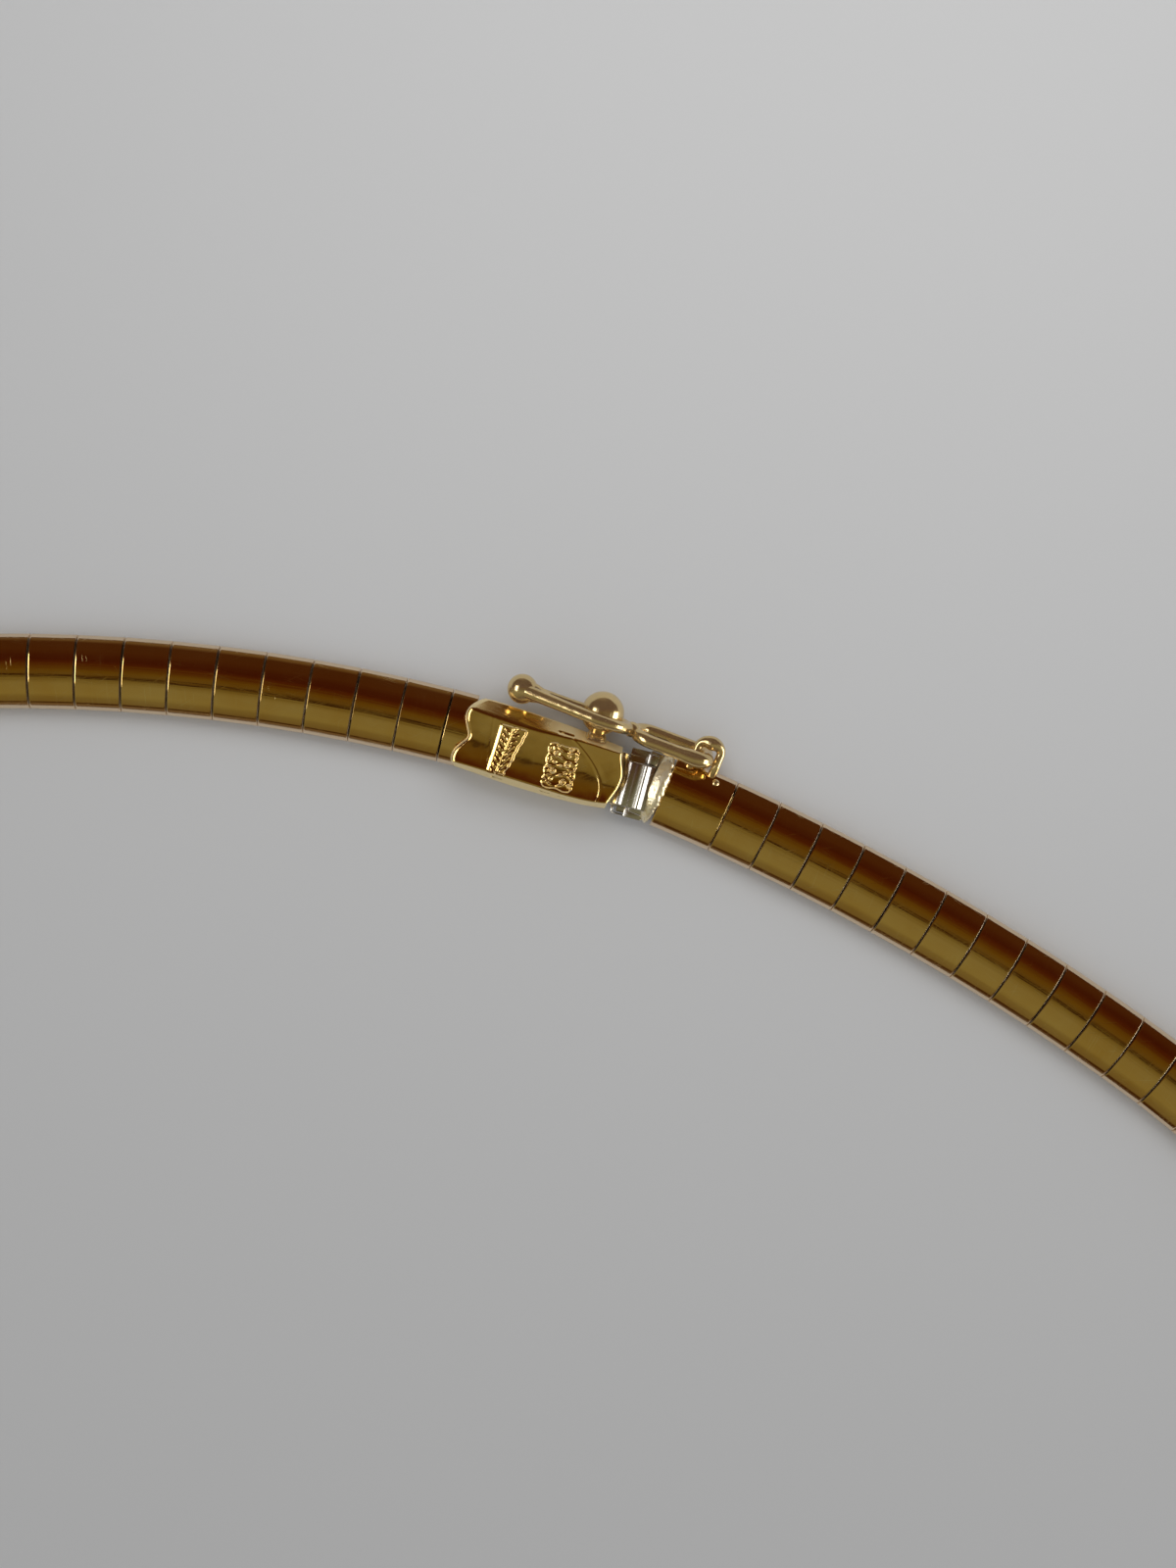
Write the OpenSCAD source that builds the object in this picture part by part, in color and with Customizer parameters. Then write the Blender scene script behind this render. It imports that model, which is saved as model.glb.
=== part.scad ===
/* [Necklace] */
// Length all the way round, through the closed clasp
necklace_length = 420; // [400:5:450]

/* [Band] */
// Width of the band of plates
band_w = 4; // [3.8:0.1:4.2]
// Height of the band, from the surface it lies on to its crown
band_h = 1.7; // [1.6:0.05:1.8]
// Height at which the band is widest
waist_h = 0.75; // [0.7:0.05:0.8]
// Thickness of a plate's sheet
sheet_t = 0.28; // [0.24:0.02:0.3]
// Length of one plate with its seam, before it is fitted to the loop
plate_pitch = 2.47; // [2.3:0.01:2.8]
// Open seam between two plates
seam = 0.1; // [0.1:0.01:0.14]
// Width of the woven strip inside the plates
core_w = 2.6; // [2.4:0.1:2.8]
// Thickness of the woven strip
core_t = 0.6; // [0.5:0.05:0.6]

/* [Loop] */
// Turn of the band where the end cap meets the tongue, in degrees
kink = 8; // [7:0.5:9]
// Radius of the band just after the end cap
cap_side_radius = 130; // [120:5:140]
// Turn of that stretch, in degrees
cap_side_turn = 13; // [11:1:15]
// Radius of the band just before the clasp box
box_side_radius = 95; // [90:1:100]
// Turn of that stretch, in degrees
box_side_turn = 20; // [18:1:22]
// Turn round the neck's side next to the end cap, in degrees
cap_side_bend = 110; // [105:1:112]
// Turn round the neck's side next to the clasp box, in degrees
box_side_bend = 100; // [98:1:104]

/* [Clasp box] */
// Length of the box cover from lobe tips to the middle of its mouth
cover_l = 9.05; // [8.9:0.05:9.2]
// Width of the cover
cover_w = 4.05; // [4:0.05:4.2]
// Height of the box with its domed cover
box_h = 2.6; // [2.5:0.05:2.7]
// Thickness of the box walls
box_wall = 0.35; // [0.3:0.05:0.35]
// Depth of the notch between the two lobes
notch_depth = 0.5; // [0.4:0.05:0.65]
// How far the mouth end bulges past its corners
mouth_bulge = 0.4; // [0.3:0.05:0.5]
// Radius of the ball that the latch snaps over
knob_r = 1.14; // [1.05:0.01:1.16]

/* [Tongue] */
// Thickness of the tongue's two leaves
leaf_t = 0.3; // [0.25:0.01:0.32]
// Width of the leaves inside the box
tongue_w = 2.8; // [2.4:0.1:2.9]

/* [End cap] */
// Length of the end cap along the band
cap_l = 3.4; // [3.2:0.1:3.8]
// Radius of the wire of the eye that holds the latch
eye_wire_r = 0.22; // [0.18:0.01:0.22]
// Half the open width of the eye
eye_hole_r = 0.42; // [0.42:0.01:0.46]

/* [Safety latch] */
// Radius of the latch's wire
wire_r = 0.32; // [0.3:0.01:0.32]
// Radius of the ball at the latch's free end
tip_r = 0.8; // [0.7:0.05:0.85]
// Lean of the hinge loop, its top towards the band, in degrees
hinge_loop_lean = 16; // [10:1:16]
// Lean of the loop round the ball, in degrees
knob_loop_lean = 5; // [3:1:6]

/* [Hidden] */
$fn = 48;
GOLD = "#c99a3c";
PALE_GOLD = "#d8b060";
WHITE_GOLD = "#b9b9b4";
CORE_GOLD = "#a07c34";
// Small gap kept between neighbouring pieces
fit_gap = 0.1;
solder_gap = 0.05;

// Clasp frame: 0, 0 at the box's centre, +X from the box to the tongue, +Y away from the neck
box_back = -3.7;
box_mouth = 4.15;
cover_back = -4.45;
cover_mouth = cover_back + cover_l;
band_end = [box_back - fit_gap, 0.3];
band_start = [7, -0.05];
pivot = [8.7, 2.26];
knob = [2.75, 3.12];
knob_h = 1.9;
tip = [-1.67, 3.24];
hinge_loop_h = 1.45;

// Columns of the loop's table of arcs, clockwise from the end cap
TURN = 0;
RADIUS = 1;
front_bend = 360 - kink - cap_side_turn - box_side_turn - cap_side_bend - box_side_bend;
band_length = necklace_length - (band_start.x - band_end.x);

// How far a clockwise arc of radius 1 travels along X and Y, and its length
function unit_arc(heading, turn) = [
    sin(heading) - sin(heading - turn),
    cos(heading - turn) - cos(heading),
    turn * PI / 180
];
function determinant(a, b, c) = a * cross(b, c);

// The loop closes on the clasp at its full length: three equations for the three bends' radii
cap_arc = unit_arc(-kink, cap_side_turn);
cap_bend = unit_arc(-kink - cap_side_turn, cap_side_bend);
front = unit_arc(-kink - cap_side_turn - cap_side_bend, front_bend);
box_bend = unit_arc(box_side_turn + box_side_bend, box_side_bend);
box_arc = unit_arc(box_side_turn, box_side_turn);
left_over = [band_end.x - band_start.x, band_end.y - band_start.y, band_length]
    - cap_side_radius * cap_arc - box_side_radius * box_arc;
whole = determinant(cap_bend, front, box_bend);
arcs = [
    [cap_side_turn, cap_side_radius],
    [cap_side_bend, determinant(left_over, front, box_bend) / whole],
    [front_bend, determinant(cap_bend, left_over, box_bend) / whole],
    [box_side_bend, determinant(cap_bend, front, left_over) / whole],
    [box_side_turn, box_side_radius]
];

// Where each arc starts: X, Y, heading and length travelled so far
function next_start(start, arc) =
    let (step = arc[RADIUS] * unit_arc(start[2], arc[TURN]))
    [start.x + step.x, start.y + step.y, start[2] - arc[TURN], start[3] + step.z];
starts = [
    for (i = 0, at = [band_start.x, band_start.y, -kink, 0]; i < len(arcs);
        at = next_start(at, arcs[i]), i = i + 1) at
];

// The arc that holds a travelled length, and the centre it turns about
function arc_at(travelled) = max([for (i = [0 : len(arcs) - 1]) if (i == 0 || starts[i][3] <= travelled) i]);
function arc_centre(i) = [
    starts[i].x + arcs[i][RADIUS] * sin(starts[i][2]),
    starts[i].y - arcs[i][RADIUS] * cos(starts[i][2])
];
function heading_at(travelled) =
    let (i = arc_at(travelled))
    starts[i][2] - (travelled - starts[i][3]) / arcs[i][RADIUS] * 180 / PI;
// A point of the band's plan, a distance outwards from its centreline
function band_point(travelled, outwards = 0) =
    let (i = arc_at(travelled), heading = heading_at(travelled))
    arc_centre(i) + (arcs[i][RADIUS] + outwards) * [-sin(heading), cos(heading)];

// The origin lies on the surface under the middle of the whole necklace
CAP_BEND = 1;
FRONT = 2;
BOX_BEND = 3;
x_max = arc_centre(CAP_BEND).x + arcs[CAP_BEND][RADIUS] + band_w / 2;
x_min = arc_centre(BOX_BEND).x - arcs[BOX_BEND][RADIUS] - band_w / 2;
y_min = arc_centre(FRONT).y - arcs[FRONT][RADIUS] - band_w / 2;
y_max = knob.y + knob_r;
origin = [(x_min + x_max) / 2, (y_min + y_max) / 2];

// Plates fitted to the band's run after the end cap
plates_from = cap_l + seam;
plates_run = band_length - plates_from + seam;
plate_count = round(plates_run / plate_pitch);
pitch = plates_run / plate_count;

// Points of an upright ellipse's arc
function ellipse_arc(centre, a, b, from, to, steps) = [
    for (i = [0 : steps])
        let (t = from + (to - from) * i / steps)
        [centre.x + a * cos(t), centre.y + b * sin(t)]
];
function backwards(points) = [for (i = [len(points) - 1 : -1 : 0]) points[i]];
dome_steps = 8;
hem_steps = 2;
hem_x = 1.25;
slot_half = 0.85;
// Outline of the band's section above the hems, in by an inset
function crown_points(inset) = ellipse_arc(
    [0, waist_h], band_w / 2 - inset, band_h - waist_h - inset, 0, 180, dome_steps);
function hem_points(side, inset) = ellipse_arc(
    [side * hem_x, waist_h], side * (band_w / 2 - hem_x - inset), waist_h - inset, 0, -90, hem_steps);

module band_section() {
    polygon(concat(crown_points(0), hem_points(-1, 0), backwards(hem_points(1, 0))));
}

module plate_section() {
    polygon(concat(
        crown_points(0),
        hem_points(-1, 0),
        [[-slot_half, 0], [-slot_half, sheet_t]],
        backwards(hem_points(-1, sheet_t)),
        backwards(crown_points(sheet_t)),
        hem_points(1, sheet_t),
        [[slot_half, sheet_t], [slot_half, 0]],
        backwards(hem_points(1, 0))
    ));
}

core_h = 0.45;
core_cap_depth = 2.3;
core_box_depth = 0.8;

// A stretch of the band with the section given, from one travelled length to another
module along_band(from, to) {
    i = arc_at((from + to) / 2);
    radius = arcs[i][RADIUS];
    last_heading = starts[i][2] - (to - starts[i][3]) / radius * 180 / PI;
    translate(arc_centre(i))
        rotate([0, 0, 90 + last_heading])
            rotate_extrude(angle = (to - from) / radius * 180 / PI)
                translate([radius, 0])
                    children();
}

// Extrudes a section of Y and Z points along X
module along_x(from, to) {
    translate([from, 0, 0])
        rotate([90, 0, 90])
            linear_extrude(to - from)
                children();
}

// Extrudes a side outline of X and Z points across the clasp
module across(from, to) {
    translate([0, to, 0])
        rotate([90, 0, 0])
            linear_extrude(to - from)
                children();
}

module block(low, high) {
    translate(low)
        cube(high - low);
}

// Puts what is drawn in the clasp frame into the necklace's own frame
module in_necklace() {
    translate([-origin.x, -origin.y, 0])
        children();
}

module plates() {
    color(GOLD)
        in_necklace()
            for (i = [0 : plate_count - 1])
                along_band(plates_from + i * pitch, plates_from + (i + 1) * pitch - seam)
                    plate_section();
}

core_from = cap_l - core_cap_depth;
core_steps = 130;
function core_side(outwards) = [
    for (i = [0 : core_steps])
        band_point(core_from + (band_length - core_from) * i / core_steps, outwards)
];

module mesh_core() {
    tail = band_end.x + core_box_depth;
    color(CORE_GOLD)
        in_necklace()
            translate([0, 0, core_h])
                linear_extrude(core_t)
                    polygon(concat(
                        core_side(core_w / 2),
                        [[tail, band_end.y + core_w / 2], [tail, band_end.y - core_w / 2]],
                        backwards(core_side(-core_w / 2))
                    ));
}

// Section of the clasp box's cover: domed top, bevelled long edges
skirt_h = 1.5;
bevel_h = 1.75;
bevel_w = 0.55;
crown_rise = 0.3;
crown_steps = 8;
function cover_crown(inset) = ellipse_arc(
    [0, box_h - crown_rise - inset], cover_w / 2 - bevel_w, crown_rise, 0, 180, crown_steps);

module cover_section() {
    half = cover_w / 2;
    polygon(concat(cover_crown(0), [[-half, bevel_h], [-half, skirt_h], [half, skirt_h], [half, bevel_h]]));
}

// What is hollow under the cover's sheet, between side walls a half width apart
module room_section(half, floor_h) {
    polygon(concat(
        cover_crown(box_wall),
        [[-half, skirt_h], [-half, floor_h], [half, floor_h], [half, skirt_h]]
    ));
}

// Plan of the cover: two lobes with a notch between them at the back, an ogee at the mouth
lobe_y = 1.3;
corner_x = 0.8;
corner_steps = 4;
mouth_flank = 1.7;
plan_steps = 8;
function lobe_x(y) = cover_back + notch_depth * (1 - sin(90 * abs(y) / lobe_y));
function mouth_x(y) = cover_mouth - mouth_bulge * (1 - cos(180 * y / mouth_flank)) / 2;
function cover_corner(side) = ellipse_arc(
    [cover_back + corner_x, side * lobe_y], corner_x, side * (cover_w / 2 - lobe_y), 180, 90, corner_steps);

module cover_plan() {
    polygon(concat(
        [for (i = [1 - plan_steps : plan_steps - 1]) let (y = lobe_y * i / plan_steps) [lobe_x(y), y]],
        cover_corner(1),
        [[cover_mouth - mouth_bulge, cover_w / 2]],
        [for (i = [plan_steps : -1 : -plan_steps]) let (y = mouth_flank * i / plan_steps) [mouth_x(y), y]],
        [[cover_mouth - mouth_bulge, -cover_w / 2]],
        backwards(cover_corner(-1))
    ));
}

body_half = 1.9;
room_half = body_half - box_wall;
end_wall = 0.9;
stem_r = 0.45;
stem_root_y = 1.65;
past = 1;

module clasp_box() {
    slot = core_w / 2 + fit_gap;
    color(GOLD)
        in_necklace()
            difference() {
                union() {
                    intersection() {
                        along_x(cover_back, cover_mouth) cover_section();
                        linear_extrude(box_h) cover_plan();
                    }
                    block([box_back, -body_half, 0], [box_mouth, body_half, skirt_h + fit_gap]);
                    translate([knob.x, stem_root_y, knob_h])
                        rotate([-90, 0, 0])
                            cylinder(r = stem_r, h = knob.y - stem_root_y);
                    translate([knob.x, knob.y, knob_h])
                        sphere(knob_r);
                }
                along_x(cover_back - past, box_back) room_section(cover_w / 2 - box_wall, -past);
                along_x(box_back + end_wall, cover_mouth + past) room_section(room_half, box_wall);
                block(
                    [box_back - past, band_end.y - slot, core_h - fit_gap],
                    [band_end.x + core_box_depth + fit_gap, band_end.y + slot, core_h + core_t + fit_gap]
                );
            }
}

// A strip of even thickness along a row of points
function strip_side(path, offset) = [
    for (i = [0 : len(path) - 1])
        let (along = path[min(i + 1, len(path) - 1)] - path[max(i - 1, 0)])
        path[i] + offset * [-along.y, along.x] / norm(along)
];
function strip(path, thickness) = concat(
    strip_side(path, thickness / 2), backwards(strip_side(path, -thickness / 2)));

// Side view of the folded tongue: lower leaf, fold, rising upper leaf with its thumb hump at the mouth
lower_leaf_h = 0.65;
fold_x = -2;
fold_r = 0.24;
leaf_out_x = 4.3;
leaf_out_h = 1.6;
hump_x = 5.2;
hump_half = 0.85;
hump_h = 0.28;
hump_steps = 8;
root_x = 5.6;
tongue_path = concat(
    [[root_x, lower_leaf_h]],
    ellipse_arc([fold_x, lower_leaf_h + fold_r], -fold_r, fold_r, -90, 90, 6),
    [for (i = [0 : hump_steps])
        let (x = leaf_out_x + 2 * hump_half * i / hump_steps)
        [x, leaf_out_h + hump_h * sin(180 * i / hump_steps)]]
);

// The notches that show at the tongue's sides between the box and the end cap
plate_low = [4.8, -1.8, 0.4];
plate_high = [5.9, 1.75, 0.85];
hump_side_y = 1.05;
window_x = [4.95, 5.4];
window_y = [-1.6, -1.25];
root_from = -1.4;
root_to = -0.6 - solder_gap;
root_half = 1.75;
root_low = 0.4;
root_high = 1.25;

module tongue() {
    color(WHITE_GOLD)
        in_necklace() {
            difference() {
                union() {
                    across(-tongue_w / 2, tongue_w / 2) polygon(strip(tongue_path, leaf_t));
                    block(plate_low, plate_high);
                }
                block([plate_low.x, hump_side_y, root_high], [plate_high.x + past, tongue_w, box_h]);
                block([window_x[0], window_y[0], 0], [window_x[1], window_y[1], root_high]);
            }
            along_band(root_from, root_to)
                translate([-root_half, root_low])
                    square([2 * root_half, root_high - root_low]);
        }
}

ridge_from = -0.6;
ridge_to = 0.3;
ridge_half = 1.85;
ridge_rise = 1.2;
ridge_low = 0.3;
eye_reach = 0.35;
eye_root = -1.5;

module ridge_section() {
    polygon(concat(
        ellipse_arc([0, waist_h], ridge_half, ridge_rise, 0, 180, dome_steps),
        [[-ridge_half, ridge_low], [ridge_half, ridge_low]]
    ));
}

// A staple of round wire whose bend the latch's wire passes down through
module eye() {
    bend_r = eye_hole_r + eye_wire_r;
    translate([pivot.x, pivot.y, hinge_loop_h])
        rotate([0, 0, -kink]) {
            translate([0, eye_reach, 0])
                rotate_extrude(angle = 180)
                    translate([bend_r, 0])
                        circle(eye_wire_r);
            for (side = [-1, 1])
                translate([side * bend_r, eye_reach, 0])
                    rotate([90, 0, 0])
                        cylinder(r = eye_wire_r, h = eye_reach - eye_root);
        }
}

module end_cap() {
    color(GOLD)
        in_necklace() {
            difference() {
                union() {
                    along_band(0, cap_l) band_section();
                    along_band(ridge_from, ridge_to) ridge_section();
                }
                along_band(core_from - fit_gap, cap_l + past)
                    translate([-core_w / 2 - fit_gap, core_h - fit_gap])
                        square([core_w + 2 * fit_gap, core_t + 2 * fit_gap]);
            }
            eye();
        }
}

// Safety latch frame: the hinge's upright axis at 0, 0, and +X towards the ball at the free end
latch_angle = atan2(tip.y - pivot.y, tip.x - pivot.x);
latch_l = norm(tip - pivot);
knob_x = (knob - pivot) * [cos(latch_angle), sin(latch_angle)];
loop_clearance = 0.07;
knob_loop_r = knob_r + loop_clearance + wire_r;
hinge_loop_half = 1;
loop_corner_r = 0.6;
wires_apart = 0.45;
waist_x = knob_x - knob_loop_r - wires_apart;
collar_r = 0.42;
tip_end_r = 0.34;
// The drawn-out legs are a little thinner than the bow they run into
leg_step = 0.01;
leg_overlap = 0.1;

module wire_line(from, to, r = wire_r) {
    along = to - from;
    translate(from)
        rotate([0, 90, atan2(along.y, along.x)])
            cylinder(r = r, h = norm(along));
}

module wire_arc(centre, radius, from, turn) {
    translate(centre)
        rotate([0, 0, from])
            rotate_extrude(angle = turn)
                translate([radius, 0])
                    circle(wire_r);
}

// The loop that turns in the eye, its straight end on the hinge's axis
module hinge_loop() {
    pin_half = hinge_loop_half - loop_corner_r;
    bow_x = waist_x - hinge_loop_half;
    wire_line([0, -pin_half], [0, pin_half]);
    for (flip = [0, 1])
        mirror([0, flip, 0]) {
            wire_arc([loop_corner_r, pin_half], loop_corner_r, 90, 90);
            wire_line([loop_corner_r, hinge_loop_half], [bow_x, hinge_loop_half]);
        }
    wire_arc([bow_x, 0], hinge_loop_half, -90, 180);
}

// The loop that goes round the ball on the box, drawn out to the latch's tip
module knob_loop() {
    tangent = acos((knob_loop_r - tip_end_r) / (latch_l - knob_x));
    touch = [cos(tangent), sin(tangent)];
    along = [sin(tangent), -cos(tangent)];
    wire_arc([knob_x, 0], knob_loop_r, tangent, 360 - 2 * tangent);
    for (flip = [0, 1])
        mirror([0, flip, 0])
            wire_line(
                [knob_x, 0] + knob_loop_r * touch - leg_overlap * along,
                [latch_l, 0] + tip_end_r * touch,
                wire_r - leg_step
            );
    translate([latch_l, 0, 0])
        sphere(tip_r);
}

module safety_latch() {
    color(PALE_GOLD)
        in_necklace()
            translate([pivot.x, pivot.y, 0])
                rotate([0, 0, latch_angle]) {
                    translate([0, 0, hinge_loop_h])
                        rotate([90 - hinge_loop_lean, 0, 0])
                            hinge_loop();
                    translate([0, 0, knob_h])
                        rotate([90 - knob_loop_lean, 0, 0])
                            knob_loop();
                    translate([waist_x + wires_apart / 2, 0, (hinge_loop_h + knob_h) / 2])
                        sphere(collar_r);
                }
}

plates();
mesh_core();
clasp_box();
tongue();
end_cap();
safety_latch();
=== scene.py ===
"""Omega necklace of domed gold plates with a box clasp and a safety latch."""
import functools
import math

import bmesh
import bpy
import numpy as np
from bpy.props import FloatProperty, FloatVectorProperty, IntProperty, PointerProperty
from mathutils import Matrix, Vector, noise


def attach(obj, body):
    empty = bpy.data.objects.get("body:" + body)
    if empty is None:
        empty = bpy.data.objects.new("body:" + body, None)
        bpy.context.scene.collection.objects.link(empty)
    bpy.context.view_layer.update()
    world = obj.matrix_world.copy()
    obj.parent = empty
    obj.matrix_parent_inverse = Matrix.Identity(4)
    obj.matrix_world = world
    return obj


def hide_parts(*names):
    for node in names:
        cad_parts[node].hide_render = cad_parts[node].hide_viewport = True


bl_info = {
    "name": "Omega necklace",
    "version": (1, 0, 0),
    "blender": (4, 5, 0),
    "location": "View3D > Sidebar > Necklace",
    "description": "Dresses an omega necklace with its box clasp and safety latch",
    "category": "Object",
}

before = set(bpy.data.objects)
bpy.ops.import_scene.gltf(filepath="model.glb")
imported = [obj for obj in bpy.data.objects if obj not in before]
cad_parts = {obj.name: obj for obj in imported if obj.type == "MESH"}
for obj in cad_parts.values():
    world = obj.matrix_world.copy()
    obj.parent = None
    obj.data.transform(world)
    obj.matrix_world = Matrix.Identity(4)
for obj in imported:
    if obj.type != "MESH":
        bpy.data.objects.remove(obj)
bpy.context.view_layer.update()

MM = 0.001
TOUCHING = 1e-4 * MM
NECKLACE, LATCH = "necklace", "latch"
# The clasp frame: 0, 0 at the box's centre, X towards the tongue, Y away from the neck, millimetres
ORIGIN = Vector((-0.522577, -59.914485, 0.0))

# The band's plan, clockwise from the end cap: turn in degrees and radius of each arc
ARCS = ((13.0, 130.0), (110.0, 55.77048), (109.0, 75.63686), (100.0, 54.76262), (20.0, 95.0))
BAND_START = (7.0, -0.05)
START_HEADING = -8.0
BAND_LENGTH = 409.2
CAP_LENGTH = 3.4

KNOB = Vector((2.75, 3.12, 1.9))
# Where the knob's stem leaves the box's side, from the knob's centre
KNOB_ROOT = 1.6 - 3.12
PIVOT = Vector((8.7, 2.26, 1.45))
TIP = Vector((-1.67, 3.24))
LATCH_TURN = math.atan2(TIP.y - PIVOT.y, TIP.x - PIVOT.x)


# ---------------------------------------------------------------- sizes and colours


def size(name, about, millimetres):
    return FloatProperty(name=name, description=about, default=millimetres * MM, unit="LENGTH", precision=5)


def share(name, about, default, top=1.0):
    return FloatProperty(name=name, description=about, default=default, min=0.0, max=top)


def tone(name, about, default):
    return FloatVectorProperty(
        name=name, description=about, default=default, size=3, min=0.0, max=1.0, subtype="COLOR")


class BandSizes(bpy.types.PropertyGroup):
    """Sizes of the plates and of the woven strip inside them"""

    plates: IntProperty(name="Plates", description="Number of plates round the loop", default=164, min=1)
    seam: size("Seam", "Open seam between two plates", 0.055)
    last_plate: size("Last plate", "Length of the plate next to the box", 1.33)
    width: size("Width", "Width of a plate", 4.0)
    height: size("Height", "Height of a plate's crown", 1.7)
    waist: size("Waist", "Height at which a plate is widest", 0.75)
    sheet: size("Sheet", "Thickness of a plate's sheet", 0.28)
    edge: size("Edge", "Rounding of a plate's edges at the seams", 0.02)
    sway: FloatProperty(
        name="Sway", description="How far each plate leans from its neighbours",
        default=math.radians(0.55), subtype="ANGLE")
    seed: IntProperty(name="Seed", description="Seed of the plates' sway", default=4)
    strands: IntProperty(name="Strands", description="Wires in the woven strip", default=6, min=2)
    strand: size("Strand", "Radius of a wire of the woven strip", 0.15)
    core_width: size("Woven strip", "Width of the woven strip", 2.6)


class ClaspSizes(bpy.types.PropertyGroup):
    """Sizes of the box, its cover, the tongue and the end cap"""

    cover_height: size("Cover height", "Height of the cover's ridges", 2.5)
    sheet: size("Sheet", "Thickness of the cover", 0.35)
    dish: size("Dish", "Depth of the hollow in the cover's panel", 0.18)
    punch: size("Punch", "Depth of the punched ornament", 0.15)
    knob: size("Knob", "Radius of the ball that the latch goes round", 1.14)
    leaf: size("Leaf", "Thickness of the tongue's leaves", 0.3)


class LatchSizes(bpy.types.PropertyGroup):
    """Sizes of the safety latch"""

    wire: size("Wire", "Radius of the latch's wire", 0.32)
    tip: size("Tip", "Radius of the ball at the free end", 0.8)


class Finishes(bpy.types.PropertyGroup):
    """Colours and polish of the metals"""

    gold: tone("Gold", "Yellow gold of the plates", (0.86, 0.60, 0.225))
    deep_gold: tone("Deep gold", "Redder gold in the mottled places", (0.80, 0.51, 0.15))
    wire_gold: tone("Wire gold", "Paler gold of the latch, the knob and the eye", (0.80, 0.60, 0.29))
    # Painted reflection: the rim tone is laid where the plates turn away from the eye, a paler, duller gold
    # standing in for how the polished metal mirrors the room at grazing angles.
    rim: tone("Rim", "Dull gold at the plates' steep sides", (0.82, 0.64, 0.44))
    # Pale gold is partly real wear and partly painted light: besides the solder and the rubbed hairlines, it
    # paints the pale highlight lines beside the plates' seams and the pale sheen on the box's steep sides.
    pale_gold: tone("Pale gold", "Gold of the solder and the rubbed edges", (0.93, 0.76, 0.42))
    white_gold: tone("White gold", "Metal of the tongue", (0.60, 0.575, 0.53))
    solder: tone("Solder", "Palest gold of the solder's grains", (0.97, 0.87, 0.62))
    rubbed_white: tone("Rubbed white gold", "Hairlines on the tongue", (0.86, 0.85, 0.82))
    grey_stain: tone("Grey stain", "Stain on the tongue", (0.12, 0.10, 0.09))
    tarnish: tone("Tarnish", "Dark film in the hollows", (0.075, 0.045, 0.022))
    # Painted shade: the seam tone darkens the plates' end faces, standing in for the shade inside the open
    # seams rather than a film on the metal.
    seam: tone("Seam", "Dark film on the plates' ends", (0.030, 0.012, 0.005))
    polish: share("Polish", "Roughness of the polished metal", 0.045)


class StageSettings(bpy.types.PropertyGroup):
    """Floor and light"""

    floor: tone("Floor", "Colour of the table", (0.70, 0.70, 0.70))
    dome: share("Dome", "Strength of the plain light from all round", 0.47, 5.0)
    window: share("Window", "Radiance of the soft window", 4.5, 50.0)
    glow: share("Far window", "Radiance of the low far window", 5.5, 50.0)
    lamp: share("Top lamp", "Power of the soft lamp over the table, in watts", 0.034, 50.0)


# ---------------------------------------------------------------- node helpers


def put(tree, kind, values=None, **settings):
    """Adds a node, sets its settings, then links or sets its inputs."""
    made = tree.nodes.new(kind)
    for name, value in settings.items():
        setattr(made, name, value)
    for key, value in (values or {}).items():
        if isinstance(value, bpy.types.NodeSocket):
            tree.links.new(value, made.inputs[key])
        else:
            made.inputs[key].default_value = value
    return made


def sum_of(tree, *sockets):
    total = sockets[0]
    for socket in sockets[1:]:
        total = put(tree, "ShaderNodeMath", {0: total, 1: socket}, operation="ADD").outputs[0]
    return total


def maths(tree, operation, *values):
    return put(tree, "ShaderNodeMath", dict(enumerate(values)), operation=operation).outputs[0]


def vector_maths(tree, operation, *values):
    made = put(tree, "ShaderNodeVectorMath", dict(enumerate(values)), operation=operation)
    return made.outputs["Value" if operation in ("DOT_PRODUCT", "LENGTH") else "Vector"]


def scaled(tree, vector, factor):
    return put(tree, "ShaderNodeVectorMath", {0: vector, "Scale": factor}, operation="SCALE").outputs[0]


def noise_of(tree, vector, scale, detail, **more):
    made = put(tree, "ShaderNodeTexNoise", {"Vector": vector, "Scale": scale, "Detail": detail, **more})
    return made.outputs["Fac"]


def beside(tree, tangent, across, high):
    """An offset from the band's line: across it, and up."""
    side = vector_maths(tree, "NORMALIZE", vector_maths(tree, "CROSS_PRODUCT", (0.0, 0.0, 1.0), tangent))
    up = put(tree, "ShaderNodeCombineXYZ", {2: high}).outputs[0]
    return vector_maths(tree, "ADD", scaled(tree, side, across), up)


def ramp(tree, factor, *stops, ease="LINEAR"):
    """A colour ramp; a stop is a place and a grey or a colour."""
    made = put(tree, "ShaderNodeValToRGB", {0: factor})
    band = made.color_ramp
    band.interpolation = ease
    while len(band.elements) < len(stops):
        band.elements.new(1.0)
    for element, (place, _) in zip(band.elements, stops):
        element.position = place
    for element, (_, colour) in zip(band.elements, stops):
        rgb = (colour,) * 3 if isinstance(colour, (int, float)) else tuple(colour)
        element.color = (*rgb, 1.0)
    return made.outputs["Color"]


def mix(tree, factor, a, b):
    made = put(tree, "ShaderNodeMix", data_type="RGBA", blend_type="MIX")
    for place, value in ((0, factor), (6, a), (7, b)):
        socket = made.inputs[place]
        if isinstance(value, bpy.types.NodeSocket):
            tree.links.new(value, socket)
        else:
            socket.default_value = value if place == 0 or len(value) == 4 else (*value, 1.0)
    return made.outputs[2]


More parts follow.
